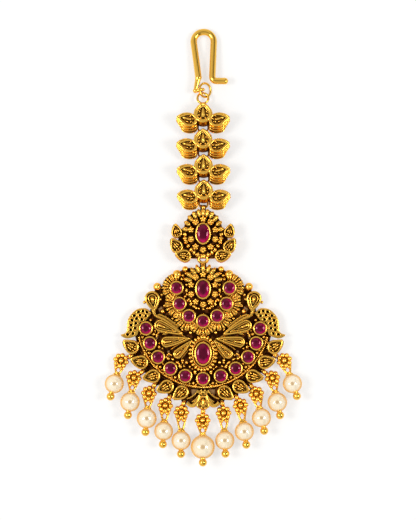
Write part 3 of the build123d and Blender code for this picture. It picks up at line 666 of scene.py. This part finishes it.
def on_oval(size, degrees, centre=(0.0, 0.0)):
    """The point of an oval at an angle, from its half width and half length in mm."""
    angle = math.radians(degrees)
    return (centre[0] + size[0] * math.cos(angle), centre[1] + size[1] * math.sin(angle))


def polar(reach, degrees, centre=(0.0, 0.0)):
    """The point at a distance and a direction from a centre, in mm."""
    return on_oval((reach, reach), degrees, centre)


def tilted(pivot_y, pivot_z, degrees):
    """Turned about X at a height, so that what lies towards -Y is raised."""
    pivot = at(0, pivot_y, pivot_z)
    return (
        Matrix.Translation(pivot) @ Matrix.Rotation(math.radians(-degrees), 4, "X")
        @ Matrix.Translation(-Vector((HOME.x, pivot.y, 0)))
    )


ROSETTE_FRAME = tilted(*PLAQUE_TILT)
LEVEL = Matrix.Identity(4)


def laid(place, turn, scale):
    """A place in metres, a turn about Z in degrees and a scale along each axis."""
    return (
        Matrix.Translation(place) @ Matrix.Rotation(math.radians(turn), 4, "Z")
        @ Matrix.Diagonal((*scale, 1))
    )


def spot(x, y, z, turn, size, model=False):
    """Where a unit model goes: its place in mm, its turn, and its half sizes in mm."""
    return laid(at(x, y, z, model), turn, [value * MM for value in size])


def dot(x, y, z, radius):
    """Where a ball goes, in mm."""
    return spot(x, y, z, 0, (radius, radius, radius))


# --- wires
def through(points, steps=5):
    """A smooth run of points through the given ones."""
    given = [Vector(point) for point in points]
    line = [2 * given[0] - given[1]] + given + [2 * given[-1] - given[-2]]
    run = []
    for a, b, c, d in zip(line, line[1:], line[2:], line[3:]):
        for i in range(steps):
            t = i / steps
            bend = (2 * a - 5 * b + 4 * c - d) * t + (3 * b - a - 3 * c + d) * t * t
            run.append(b + (c - a + bend) * t / 2)
    return run + [given[-1]]


def wire(points, radius, closed=False, bent=False, model=False):
    """Round wire through points in mm, bent smoothly or straight between them."""
    if bent:
        points = through(points)
    data = bpy.data.curves.new("wire", "CURVE")
    data.dimensions = "3D"
    data.bevel_depth = radius * MM
    data.bevel_resolution = 2
    data.use_fill_caps = not closed
    spline = data.splines.new("POLY")
    spline.points.add(len(points) - 1)
    for point, place in zip(spline.points, points):
        point.co = (*at(*place, model), 1.0)
    spline.use_cyclic_u = closed
    select_only(new_piece("wire", data))
    bpy.ops.object.convert(target="MESH")
    smooth()
    return bpy.context.object


def oval_wire(size, thickness, z, centre=(0.0, 0.0), count=56, model=False):
    """A closed wire round an oval at a height, in mm."""
    points = [(*on_oval(size, 360 * i / count, centre), z) for i in range(count)]
    return wire(points, thickness, closed=True, model=model)


def ring_wire(radius, thickness, z, centre=(0.0, 0.0), count=48, model=False):
    return oval_wire((radius, radius), thickness, z, centre, count, model)


def pairs(table):
    """Rows that begin with x, each followed by its mirror image."""
    return [(side * x, *rest) for x, *rest in table for side in (1, -1)]


def mirrored_wires(table):
    """Bent wires and their mirror images, from rows of radius, height and points."""
    return [
        wire([(side * x, y, z) for x, y in points], radius, bent=True)
        for radius, z, points in table for side in (1, -1)
    ]


def petal_outline(end, radius, tip, bulge=0.12, steps=12):
    """Points round a petal: its round end, then both bowed sides to its tip."""
    dx, dy = tip[0] - end[0], tip[1] - end[1]
    length, turn = math.hypot(dx, dy), math.degrees(math.atan2(dy, dx))
    lean = math.degrees(math.acos(radius / length))
    points = [
        polar(radius, turn + lean + (360 - 2 * lean) * i / steps, end) for i in range(steps + 1)
    ]
    sides = []
    for corner, sign in ((points[-1], -1), (points[0], 1)):
        side = []
        for share in (i / steps for i in range(1, steps)):
            bow = 4 * share * (1 - share) * sign * bulge * radius
            x = corner[0] + (tip[0] - corner[0]) * share
            y = corner[1] + (tip[1] - corner[1]) * share
            side.append(polar(bow, turn + 90, (x, y)))
        sides.append(side)
    return points + sides[0] + [tip] + sides[1][::-1]


def petal_wire(end, radius, tip, z, thickness, bulge=0.12, curl=0.0, model=False):
    """A closed wire round a petal at a height; a curl bends its +X end aside."""
    outline = petal_outline(end, radius, tip, bulge)
    points = [(x, y + curl * max(0.0, x) ** 2, z) for x, y in outline]
    return wire(points, thickness, closed=True, model=model)


# --- operators
class TIKKA_OT_castings(bpy.types.Operator):
    """Dress the pendant, the plaque and the links in antique gold"""

    bl_idname = "tikka.castings"
    bl_label = "Gold Castings"

    def execute(self, context):
        for node, name, finish in (
            ("pendant_plate", "pendant_casting", "field_gold"),
            ("rosette_plaque", "rosette_casting", "plaque_gold"),
            *((node, node + "_casting", "cast_gold") for node in LINKS),
        ):
            hand_over(merged_copy(node, name), finish, nodes=[node])
        return {"FINISHED"}


class TIKKA_OT_hook(bpy.types.Operator):
    """Polish the hair hook and bend its jump ring and the chain's top ring"""

    bl_idname = "tikka.hook"
    bl_label = "Hair Hook"

    def execute(self, context):
        hand_over(merged_copy("hook", "hook_polished"), "wire_gold", ["hook"])
        ring = named(ring_wire(1.7, 0.3, 0.0, model=True), "jump_ring")
        tilt = Matrix.Rotation(math.radians(JUMP_RING_TILT), 4, "Y")
        ring.data.transform(Matrix.Translation(at(*JUMP_RING_PLACE)) @ tilt)
        hand_over(ring, "wire_gold", ["hook_ring"])
        ring = named(ring_wire(*TOP_RING, count=40), "top_ring")
        ring.data.transform(tilted(LINK_PLACES[0][2], *LINK_TILT))
        hand_over(ring, "wire_gold")
        return {"FINISHED"}


class TIKKA_OT_rubies(bpy.types.Operator):
    """Cut the rubies: a low polished dome over pavilion facets"""

    bl_idname = "tikka.rubies"
    bl_label = "Rubies"

    def cut(self):
        """One stone of radius 1: faceted foot, girdle and a low polished dome."""
        stone = sphere(32, 24)
        pick(stone, lambda place: place.z < -0.01)
        bpy.ops.mesh.delete(type="VERT")
        bpy.ops.mesh.select_all(action="SELECT")
        resize(1, 1, 0.30)
        bpy.ops.transform.translate(value=(0, 0, 0.70))
        pick(stone, lambda place: place.z < 0.701)
        done = 1.0
        for share, rise in ((1.0, -0.08), (0.62, -0.34), (0.14, -0.26)):
            bpy.ops.mesh.extrude_region_move(TRANSFORM_OT_translate={"value": (0, 0, rise)})
            resize(share / done, share / done, 1)
            done = share
        bpy.ops.mesh.edge_face_add()
        face_outward()
        smooth(35)
        return stone

    def stone(self, model, name, foot, size, number):
        """A stone that keeps where each point lies in the cut, turned and sliced anew."""
        piece = copy_at(model, laid(foot, 0, size), name)
        field = piece.data.attributes.new("cut", "FLOAT_VECTOR", "POINT")
        # The turn sets which side of each stone the painted glow favours.
        turn = Matrix.Rotation(math.radians(47 * number % 100 - 50 if number > 2 else 0), 3, "Z")
        for value, point in zip(field.data, model.data.vertices):
            value.vector = turn @ point.co + Vector((0, 0, 1.7 * number - 0.6 * point.co.z))
        return piece

    def execute(self, context):
        model = self.cut()
        for number, node in enumerate(("centre_ruby", "crown_ruby", "rosette_ruby") + CRESCENT):
            low, high = map(Vector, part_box(node))
            half = (high - low) / 2
            foot, size = (*middle(node).xy, low.z), (half.x, half.y, 2 * half.z)
            stone = self.stone(model, node + "_cut", foot, size, number)
            hand_over(stone, "crimson_stone", [node])
        low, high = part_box("arc_rubies")
        size = (STONE_R * MM, STONE_R * MM, high[2] - low[2])
        arc = [
            self.stone(model, "arc_stone", at(*place) + Vector((0, 0, low[2])), size, number)
            for number, place in enumerate(ARC_STONES, 20)
        ]
        hand_over(joined(arc, "arc_rubies_cut"), "crimson_stone", ["arc_rubies"])
        discard(model)
        return {"FINISHED"}


class TIKKA_OT_drops(bpy.types.Operator):
    """Make the grain flowers, pins and pearls of the eleven drops"""

    bl_idname = "tikka.drops"
    bl_label = "Pearl Drops"

    def flower(self):
        """Grains round a larger one on a disc, two at the foot, and a ring at the back."""
        bpy.ops.mesh.primitive_cylinder_add(
            vertices=32, radius=1.3 * MM, depth=0.36 * MM, location=(0, 0, 0.72 * MM)
        )
        parts = [added()]
        grains = [(*polar(1.38, 45 * i - 90), 0.61) for i in range(8)]
        grains += [(0.0, 0.0, 0.7), (-0.62, -1.98, 0.46), (0.62, -1.98, 0.46)]
        for x, y, radius in grains:
            parts.append(sphere(24, 14, radius * MM, (x * MM, y * MM, 0.94 * MM)))
        parts.append(torus(0.5, 0.17, (0, 0, 0), (0, math.pi / 2, 0)))
        return joined(parts, "flower_model")

    def carrier(self, lug, flower):
        """The flat ring that hangs in the lug, and the grain that holds it."""
        lug, flower = Vector(lug), Vector(flower)
        way = (flower - lug).normalized()
        hang = lug + 0.45 * way
        grain = lug + min(1.3, (flower - lug).length - 1.3) * way
        return [
            torus(0.45, 0.17, at(*hang, LOOP_Z)),
            sphere(20, 12, 0.42 * MM, at(*grain, LOOP_Z + 0.05)),
        ]

    def lug(self, lug, flower, grain):
        """The upright ring at the pendant's edge, under its covering grain."""
        turn = math.atan2(flower[1] - lug[1], flower[0] - lug[0])
        ring = torus(0.45, 0.18, at(*lug, LOOP_Z), (math.pi / 2, 0, turn))
        x, y = polar(-0.1, math.degrees(turn), lug)
        return [ring, copy_at(grain, spot(x, y, LOOP_Z + 0.87, 0, (0.6, 0.6, 0.56)))]

    def pearl(self):
        """A pearl of radius 1, a little sunk where the pin goes in and out."""
        pearl = sphere(48, 32)
        for limit, share in ((0.988, 0.985), (0.998, 0.97)):
            pick(pearl, lambda place: abs(place.z) > limit)
            resize(1, 1, share)
        smooth()
        return pearl

    def pin(self, reach, radius, bead, grain):
        """Drawn loop, beaded cap, collar and end ball of one pin, about its flower."""
        top = reach - radius
        centre, foot = -1.1, 0.75 - top
        lean = math.degrees(math.acos(0.6 / (centre - foot)))
        loop = [
            (*polar(size, start + sweep * i / 16, (0.0, y)), 0.0)
            for y, size, start, sweep in (
                (centre, 1.1, 270 - lean, 2 * lean - 360), (foot, 0.5, 270 + lean, -2 * lean),
            )
            for i in range(17)
        ]
        parts = [wire(loop, 0.28, closed=True, model=True)]
        for y, size, thickness in (
            (-top + 0.42, 0.34, 0.3), (-top + 0.12, 0.62, 0.24),
            (-reach - radius - 0.02, 0.42, 0.2),
        ):
            parts.append(torus(size, thickness, (0, y * MM, 0), (math.pi / 2, 0, 0)))
        for i in range(12):
            x, z = polar(0.82, 30 * i)
            parts.append(copy_at(bead, spot(x, -top - 0.1, z, 0, (0.24, 0.24, 0.24), True)))
        end = spot(0, -(reach + radius + 0.93), 0, 0, (1.02, 1.02, 1.02), True)
        return joined(parts + [copy_at(grain, end)], "pin_model")

    def execute(self, context):
        flower_model, pearl_model = self.flower(), self.pearl()
        bead, grain = grain_model(12, 8), grain_model(32, 20)
        lugs = []
        for number, (lug, flower, pearl, radius) in enumerate(DROPS, 1):
            dx, dy, dz = pearl[0] - flower[0], pearl[1] - flower[1], radius - LOOP_Z
            rise = math.asin(dz / math.hypot(dx, dy))
            place = laid(at(*flower, LOOP_Z), math.degrees(math.atan2(dy, dx)) + 90, (1, 1, 1))
            place @= Matrix.Rotation(-rise, 4, "X")
            parts = [copy_at(flower_model, place)] + self.carrier(lug, flower)
            piece = joined(parts, f"grain_flower_{number}")
            smooth(40)
            hand_over(piece, nodes=[f"drop_flower_{number}"])
            reach = math.hypot(dx, dy, dz)
            piece = self.pin(reach, radius, bead, grain)
            piece.data.transform(place)
            piece.name = f"pin_{number}_polished"
            hand_over(piece, "wire_gold", [f"pearl_pin_{number}"])
            place @= Matrix.Translation((0, -reach * MM, 0))
            place @= Matrix.Rotation(math.pi / 2, 4, "X") @ Matrix.Scale(radius * MM, 4)
            piece = copy_at(pearl_model, place, f"pearl_{number}_lustre")
            hand_over(piece, "cream_lustre", [f"pearl_{number}"])
            lugs += self.lug(lug, flower, grain)
        hand_over(joined(lugs, "lug_rings"))
        discard(flower_model, pearl_model, bead, grain)
        return {"FINISHED"}


class TIKKA_OT_settings(bpy.types.Operator):
    """Round off the rims of the stone settings and ring the centre stone with beads"""

    bl_idname = "tikka.settings"
    bl_label = "Stone Settings"

    def execute(self, context):
        rims = [ring_wire(ROUND_RIM_R, 0.21, RIM_Z, place) for place in ARC_STONES + ROUND_STONES]
        rims += [oval_wire(size, RIM_WIRE, RIM_Z, centre) for centre, size in OVAL_RIMS]
        rims.append(oval_wire(COLLAR, 0.24, COLLAR_Z))
        hand_over(joined(rims, "setting_rims"))
        centre, size = ROSETTE_RIM
        rim = named(oval_wire(size, RIM_WIRE, RIM_Z, centre), "rosette_rim")
        rim.data.transform(ROSETTE_FRAME)
        hand_over(rim)
        places = []
        wide, long = BEAD_RING
        for i in range(BEADS):
            x, y = on_oval(BEAD_RING, 360 * i / BEADS)
            turn = math.degrees(math.atan2(y * wide / long, x * long / wide))
            places.append(spot(x, y, BEAD_Z, turn, BEAD))
        hand_over(scattered(grain_model(), "bead_ring", places))
        return {"FINISHED"}


class TIKKA_OT_grains(bpy.types.Operator):
    """Scatter the loose grains and edge balls, and add the bird pits, rings and plates, the tan ones
    painted shade
    """

    bl_idname = "tikka.grains"
    bl_label = "Grains and Rings"

    def pane(self, outline, level=PANE_Z):
        """A thin flat plate with a small bevel, its underside at a level in mm."""
        mesh = bpy.data.meshes.new("pane")
        mesh.from_pydata([at(x, y, level) for x, y in outline], [], [range(len(outline))])
        piece = new_piece("pane", mesh)
        edit(piece)
        rise = (0, 0, PANE_THICKNESS * MM)
        bpy.ops.mesh.extrude_region_move(TRANSFORM_OT_translate={"value": rise})
        bpy.ops.mesh.inset(thickness=0.07 * MM, depth=0.05 * MM)
        face_outward()
        return piece

    def web(self, x, y):
        """The dark plate between two edge leaves, behind a lug."""
        centre_x, centre_y = CRESCENT_CENTRE
        reach = math.hypot(x - centre_x, y - centre_y)
        way = math.degrees(math.atan2(y - centre_y, x - centre_x))
        left = ((WEB_ROOT, -7.5), (reach - 1.6, -4.5), (reach - 0.2, -1.4))
        right = [(out, -aside) for out, aside in reversed(left)]
        outline = [polar(out, way + aside, CRESCENT_CENTRE) for out, aside in (*left, *right)]
        return self.pane(outline, WEB_Z)

    def execute(self, context):
        places = [
            dot(x, y, GRAIN_Z, radius) for radius, table in GRAINS.items() for x, y in pairs(table)
        ]
        for turn in range(180, 361, 15):
            places.append(dot(*on_oval(CROWN_GRAINS, turn, CROWN_CENTRE), GRAIN_Z, 0.34))
        for turn in CRESCENT_GAPS:
            for reach, aside, radius in GAP_GRAINS:
                for way in (270 + turn + aside, 270 - turn - aside):
                    places.append(dot(*polar(reach, way, CRESCENT_CENTRE), GRAIN_Z, radius))
        hand_over(scattered(grain_model(), "loose_grains", places))
        places = [dot(x, y, BALL_Z, radius) for x, y, radius in pairs(EDGE_BALLS)]
        hand_over(scattered(grain_model(32, 20), "edge_balls", places))
        rims = [ring_wire(0.5, 0.13, PIT_Z, place, 12) for place in pairs(PITS)]
        hand_over(joined(rims, "pit_rims"))
        rings = [ring_wire(*ring, count=36) for ring in HANGING_RINGS]
        for ring in rings[1:]:
            ring.data.transform(ROSETTE_FRAME)
        hand_over(joined(rings, "hanging_rings"))
        panes = [
            self.pane([(side * x, y) for x, y in outline])
            for outline in WINDOWS for side in (1, -1)
        ]
        # Tan plates of painted shade, where gaps in the field would show shaded floor.
        hand_over(joined(panes, "painted_shade_windows"), "tan_horn")
        webs = [self.web(*lug) for lug, *_ in DROPS if lug[0]]
        hand_over(joined(webs, "edge_webs"), "dark_crust")
        return {"FINISHED"}


class TIKKA_OT_petals(bpy.types.Operator):
    """Raise the ribs of the fans and the long petals of the crown and the plaque"""

    bl_idname = "tikka.petals"
    bl_label = "Fans and Petals"

    def execute(self, context):
        places = [
            spot(*polar(FAN_REACH, turn, stone), FAN_Z, turn, FAN_RIB)
            for stone, facing in zip(ARC_STONES, FAN_WAYS)
            for turn in range(facing - 98, facing + 99, 14)
        ]
        hand_over(scattered(rib_model(), "fan_ribs", places))
        places = [
            spot(*polar(CROWN_REACH, turn, CROWN_HEART), PETAL_Z, turn, CROWN_PETAL)
            for turn in CROWN_PETALS
        ]
        places.append(spot(0.0, 22.0, 1.15, 90, (0.75, 0.6, 0.45)))
        hand_over(scattered(rib_model(), "crown_petals", places))
        places = []
        wide, long = PLAQUE_OVAL
        for turn in ROSETTE_PETALS:
            angle = math.radians(turn)
            reach = 1 / math.hypot(math.cos(angle) / wide, math.sin(angle) / long)
            place = polar(reach * 0.84, turn, ROSETTE_CENTRE)
            places.append(spot(*place, PETAL_Z, turn, (reach * 0.185, 0.55, 0.66)))
        places.append(spot(0.05, 36.2, 1.15, 90, (0.62, 0.55, 0.4)))
        for turn, reach in ROSETTE_FOOT:
            for way in (turn, 180 - turn):
                place = polar(reach, way, ROSETTE_CENTRE)
                places.append(spot(*place, 1.8, way, FOOT_PETAL))
        places = [ROSETTE_FRAME @ place for place in places]
        hand_over(scattered(rib_model(), "plaque_petals", places))
        return {"FINISHED"}


class TIKKA_OT_flowers(bpy.types.Operator):
    """Set the rings of five-petalled flowers round the two oval stones"""

    bl_idname = "tikka.flowers"
    bl_label = "Flower Rings"

    def execute(self, context):
        petals = [
            laid((*polar(0.43, turn), 0.0), turn, (0.36, 0.30, 0.40))
            for turn in range(90, 450, 72)
        ]
        petals.append(laid((0, 0, 0.2), 0, (0.27, 0.27, 0.27)))
        for name, centre, size, frame_matrix in (
            ("crown_flowers", CROWN_CENTRE, (3.1, 3.75), LEVEL),
            ("plaque_flowers", (0.0, 29.4), (3.15, 3.8), ROSETTE_FRAME),
        ):
            flower = scattered(grain_model(12, 8), "small_flower", petals)
            places = []
            for turn in range(0, 360, 36):
                place = on_oval(size, turn + 18, centre)
                places.append(frame_matrix @ spot(*place, FLOWER_Z, turn, FLOWER))
            hand_over(scattered(flower, name, places))
        return {"FINISHED"}


class TIKKA_OT_wings(bpy.types.Operator):
    """Model the wing petals and the bird heads with their doubled necks"""

    bl_idname = "tikka.wings"
    bl_label = "Wings and Birds"

    def petal(self, x, y, radius, tip_x, tip_y, rim):
        """The wires, the place of the raised drop and the grooves of one petal."""
        dx, dy = tip_x - x, tip_y - y
        length, turn = math.hypot(dx, dy), math.degrees(math.atan2(dy, dx))

        def along(share):
            return (x + dx * share, y + dy * share)

        wires = [
            petal_wire((x, y), radius - rim * 0.5, along(1 - 0.7 * rim / length), WING_Z, rim * 0.62),
            petal_wire((x, y), radius * 0.52, along(0.70), WING_Z - 0.1, 0.15),
        ]
        drop = spot(*along(0.08), GROOVE_Z, turn + 180, (length * 0.2, radius * 0.27, 0.5))
        grooves = [
            petal_wire((x, y), radius * 0.70, along(0.80), GROOVE_Z, 0.17),
            petal_wire((x, y), radius * 0.36, along(0.56), GROOVE_Z, 0.16),
        ]
        return wires, drop, grooves

    def execute(self, context):
        grooves = []
        for name, table, rim in (
            ("wing_petals", WING_PETALS, 0.34), ("bird_heads", BIRD_HEADS, 0.4),
        ):
            parts, drops = [], []
            for x, y, radius, tip_x, tip_y in table:
                for side in (1, -1):
                    wires, drop, lines = self.petal(side * x, y, radius, side * tip_x, tip_y, rim)
                    parts += wires
                    grooves += lines
                    drops.append(drop)
            parts.append(scattered(rib_model(), "petal_drops", drops))
            hand_over(joined(parts, name))
        hand_over(joined(grooves, "petal_grooves"), "dark_crust")
        hand_over(joined(mirrored_wires(BIRD_WIRES), "bird_necks"))
        return {"FINISHED"}


class TIKKA_OT_leaves(bpy.types.Operator):
    """Model the mango leaf and set it along the edge and round the plaque"""

    bl_idname = "tikka.leaves"
    bl_label = "Mango Leaves"

    def leaf(self):
        """One leaf about the origin, its curled tip towards +X."""
        shape = {"bulge": 0.1, "curl": 0.09, "model": True}
        parts = [
            petal_wire((-0.26, 0), 1.5, (2.3, 0), 2.55, 0.25, **shape),
            petal_wire((-0.3, 0), 1.05, (1.5, 0), 2.02, 0.1, **shape),
        ]
        return joined(parts + marks_of(LEAF_MARKS, LEAF_MARK_Z), "mango_leaf")

    def execute(self, context):
        for name, table, frame_matrix in (
            ("edge_leaves", EDGE_LEAVES, LEVEL), ("plaque_leaves", ROSETTE_LEAVES, ROSETTE_FRAME),
        ):
            places = []
            for x, y, turn, scale in table:
                for side in (1, -1):
                    way = turn if side > 0 else 180 - turn
                    size = (scale, -side * scale, 1)
                    places.append(frame_matrix @ laid(at(side * x, y), way, size))
            whole = scattered(self.leaf(), name, places)
            edit(whole)
            face_outward()
            hand_over(whole)
        return {"FINISHED"}


class TIKKA_OT_edging(bpy.types.Operator):
    """Twist the rope wire and model the knot at the foot of the pendant"""

    bl_idname = "tikka.edging"
    bl_label = "Rope Wire and Knot"

    def execute(self, context):
        strands = []
        for start in (0, 180):
            points = []
            for i in range(ROPE_STEPS + 1):
                twist = math.radians(start + 360 * ROPE_TURNS * i / ROPE_STEPS)
                reach = ROPE_R + ROPE_TWIST_R * math.cos(twist)
                place = polar(reach, ROPE_FROM + ROPE_SWEEP * i / ROPE_STEPS, CRESCENT_CENTRE)
                points.append((*place, ROPE_Z + ROPE_TWIST_R * math.sin(twist)))
            strands.append(wire(points, 0.17))
        hand_over(joined(strands, "rope_wire"))
        places = [
            spot(0.0, -10.75, 2.25, 0, (1.0, 0.24, 0.3)),
            spot(0.0, -12.15, 2.35, -90, (1.15, 0.5, 0.5)),
            dot(0.57, -13.5, 1.85, 0.5),
            dot(-0.57, -13.5, 1.85, 0.5),
        ]
        parts = mirrored_wires(FOOT_WIRES) + [scattered(rib_model(), "knot", places)]
        hand_over(joined(parts, "foot_knot"))
        return {"FINISHED"}


class TIKKA_OT_links(bpy.types.Operator):
    """Model the face of one leaf link and lay it on all four"""

    bl_idname = "tikka.links"
    bl_label = "Leaf Links"

    def edge(self, spread, height):
        """Points along a link's right leaf; the spread lengthens its lower side."""
        run = (
            (6.4, -1.2), (5.4, -0.5), (3.9, -0.2), (2.5, -0.65), (1.7, -1.9),
            (1.95 - 0.5 * spread, -2.9 - 1.6 * spread), (3.2, -3.35 - 1.9 * spread),
            (4.65 + 0.4 * spread, -3.0 - 1.8 * spread), (5.3 + 0.5 * spread, -2.3 - spread),
            (6.5, -1.2 - 0.3 * spread),
        )
        return [(x, y, height) for x, y in run]

    def face(self):
        """Rims, drops and beads of one link, about its centre."""
        parts = [
            petal_wire((0, -0.3), 2.0, (0, 2.25), 2.84, 0.36, 0.1, model=True),
            petal_wire((0, -0.35), 1.5, (0, 1.75), 2.9, 0.12, 0.1, model=True),
        ]
        for side in (1, -1):
            for spread, height, thickness, first in (
                (0.0, 2.95, 0.24, 0), (0.22, 2.0, 0.17, 4), (0.38, 1.0, 0.17, 4),
                (0.55, 0.16, 0.16, 4),
            ):
                run = [(side * x, y, z) for x, y, z in self.edge(spread, height)[first:]]
                parts.append(wire(run, thickness, bent=True, model=True))
        marks = [(0.0, 0.1, -90, 1.2, 0.36)]
        for x, y, turn, *size in LINK_MARKS:
            marks += [(x, y, turn, *size), (-x, y, 180 - turn, *size)]
        return joined(parts + marks_of(marks, LINK_MARK_Z), "link_face")

    def execute(self, context):
        face = self.face()
        for number, (x, y, pivot) in enumerate(LINK_PLACES, 1):
            place = tilted(pivot, *LINK_TILT) @ Matrix.Translation(at(x, y - LINK_DROP))
            hand_over(copy_at(face, place, f"link_face_{number}"))
        discard(face)
        return {"FINISHED"}


class TIKKA_OT_stage(bpy.types.Operator):
    """Lay the floor, hang the soft lights and aim the camera"""

    bl_idname = "tikka.stage"
    bl_label = "Studio Stage"

    def floor(self):
        """Pale paper, whitened where the camera or a shiny surface sees it."""
        bpy.ops.mesh.primitive_plane_add(size=3.0, location=(0, 0, 0))
        floor = added("pale_floor")
        f = Finish("pale_paper")
        shade = f.blend(f.noise(600.0), (0.90, 0.90, 0.90), (0.93, 0.93, 0.93))
        paper = f.node("BsdfDiffuse", {"Color": shade})
        white = f.node("Emission", {"Color": (1, 1, 1), "Strength": 1.0})
        ray = f.node("LightPath")
        seen = ray["Is Camera Ray"] + ray["Is Glossy Ray"] + ray["Is Transmission Ray"]
        mixed = f.node("MixShader", {0: seen.clamped() * 0.55, 1: paper, 2: white})
        f.node("OutputMaterial", {"Surface": mixed})
        floor.data.materials.append(f.material)

    def lamp(self, name, location, power):
        bpy.ops.object.light_add(type="AREA", location=location)
        lamp = bpy.context.object
        lamp.name = name
        lamp.data.shape = "DISK"
        lamp.data.size = LAMP_SIZE
        lamp.data.energy = power
        lamp.rotation_euler = (-Vector(location)).to_track_quat("-Z", "Y").to_euler()

    def air(self, scene):
        """Even light from all round, with a darker card for the gold to mirror."""
        scene.world = bpy.data.worlds.new("studio_air")
        f = Finish("studio_air", scene.world)
        side = f.split(f.place("Generated"))
        card = f.fade(side["X"], 0.30, 0.36) * (1.0 - f.fade(side["X"], 0.70, 0.78))
        level = 0.74 - f.fade(side["Z"], 0.86, 1.0) * 0.40
        glow = f.node("Background", {
            "Color": (1.0, 0.98, 0.95),
            "Strength": level * (1.0 - card * f.fade(side["Z"], 0.2, 0.4) * 0.85),
        })
        f.node("OutputWorld", {"Surface": glow})

    def camera(self, scene, distance):
        """A camera that looks straight down."""
        data = bpy.data.cameras.new("top_camera")
        data.lens = SENSOR * distance / VIEW_WIDTH
        data.sensor_width = SENSOR
        camera = new_piece("top_camera", data)
        aim = at(*AIM)
        camera.location = (aim.x, aim.y, distance)
        scene.camera = camera

    def execute(self, context):
        scene = context.scene
        settings = scene.tikka_stage
        self.floor()
        x, y, z = LAMP
        self.lamp("left_softbox", (-x, y, z), settings.lamp_power)
        self.lamp("right_softbox", (x, y, z), settings.lamp_power)
        self.air(scene)
        scene.view_settings.view_transform = "Standard"
        self.camera(scene, settings.distance)
        return {"FINISHED"}


class TIKKA_PT_panel(bpy.types.Panel):
    """The tikka's sizes, colours and steps"""

    bl_label = "Maang Tikka"
    bl_idname = "TIKKA_PT_panel"
    bl_space_type = "VIEW_3D"
    bl_region_type = "UI"
    bl_category = "Tikka"

    def draw(self, context):
        layout = self.layout
        for group in GROUPS:
            settings = getattr(context.scene, group)
            box = layout.box()
            for name in settings.__annotations__:
                box.prop(settings, name)
        for step in STEPS:
            layout.operator(step.bl_idname)


GROUPS = {
    "tikka_gold": TikkaGold, "tikka_ruby": TikkaRuby, "tikka_pearl": TikkaPearl,
    "tikka_stage": TikkaStage,
}
STEPS = (
    TIKKA_OT_stage, TIKKA_OT_castings, TIKKA_OT_hook, TIKKA_OT_rubies, TIKKA_OT_drops,
    TIKKA_OT_settings, TIKKA_OT_grains, TIKKA_OT_petals, TIKKA_OT_flowers, TIKKA_OT_wings,
    TIKKA_OT_leaves, TIKKA_OT_edging, TIKKA_OT_links,
)


def register():
    for group in GROUPS.values():
        bpy.utils.register_class(group)
    for name, group in GROUPS.items():
        setattr(bpy.types.Scene, name, bpy.props.PointerProperty(type=group))
    for step in STEPS:
        bpy.utils.register_class(step)
    bpy.utils.register_class(TIKKA_PT_panel)


def unregister():
    bpy.utils.unregister_class(TIKKA_PT_panel)
    for step in reversed(STEPS):
        bpy.utils.unregister_class(step)
    for name in GROUPS:
        delattr(bpy.types.Scene, name)
    for group in GROUPS.values():
        bpy.utils.unregister_class(group)


def main():
    register()
    for step in STEPS:
        package, name = step.bl_idname.split(".")
        getattr(getattr(bpy.ops, package), name)()


if __name__ == "__main__":
    main()
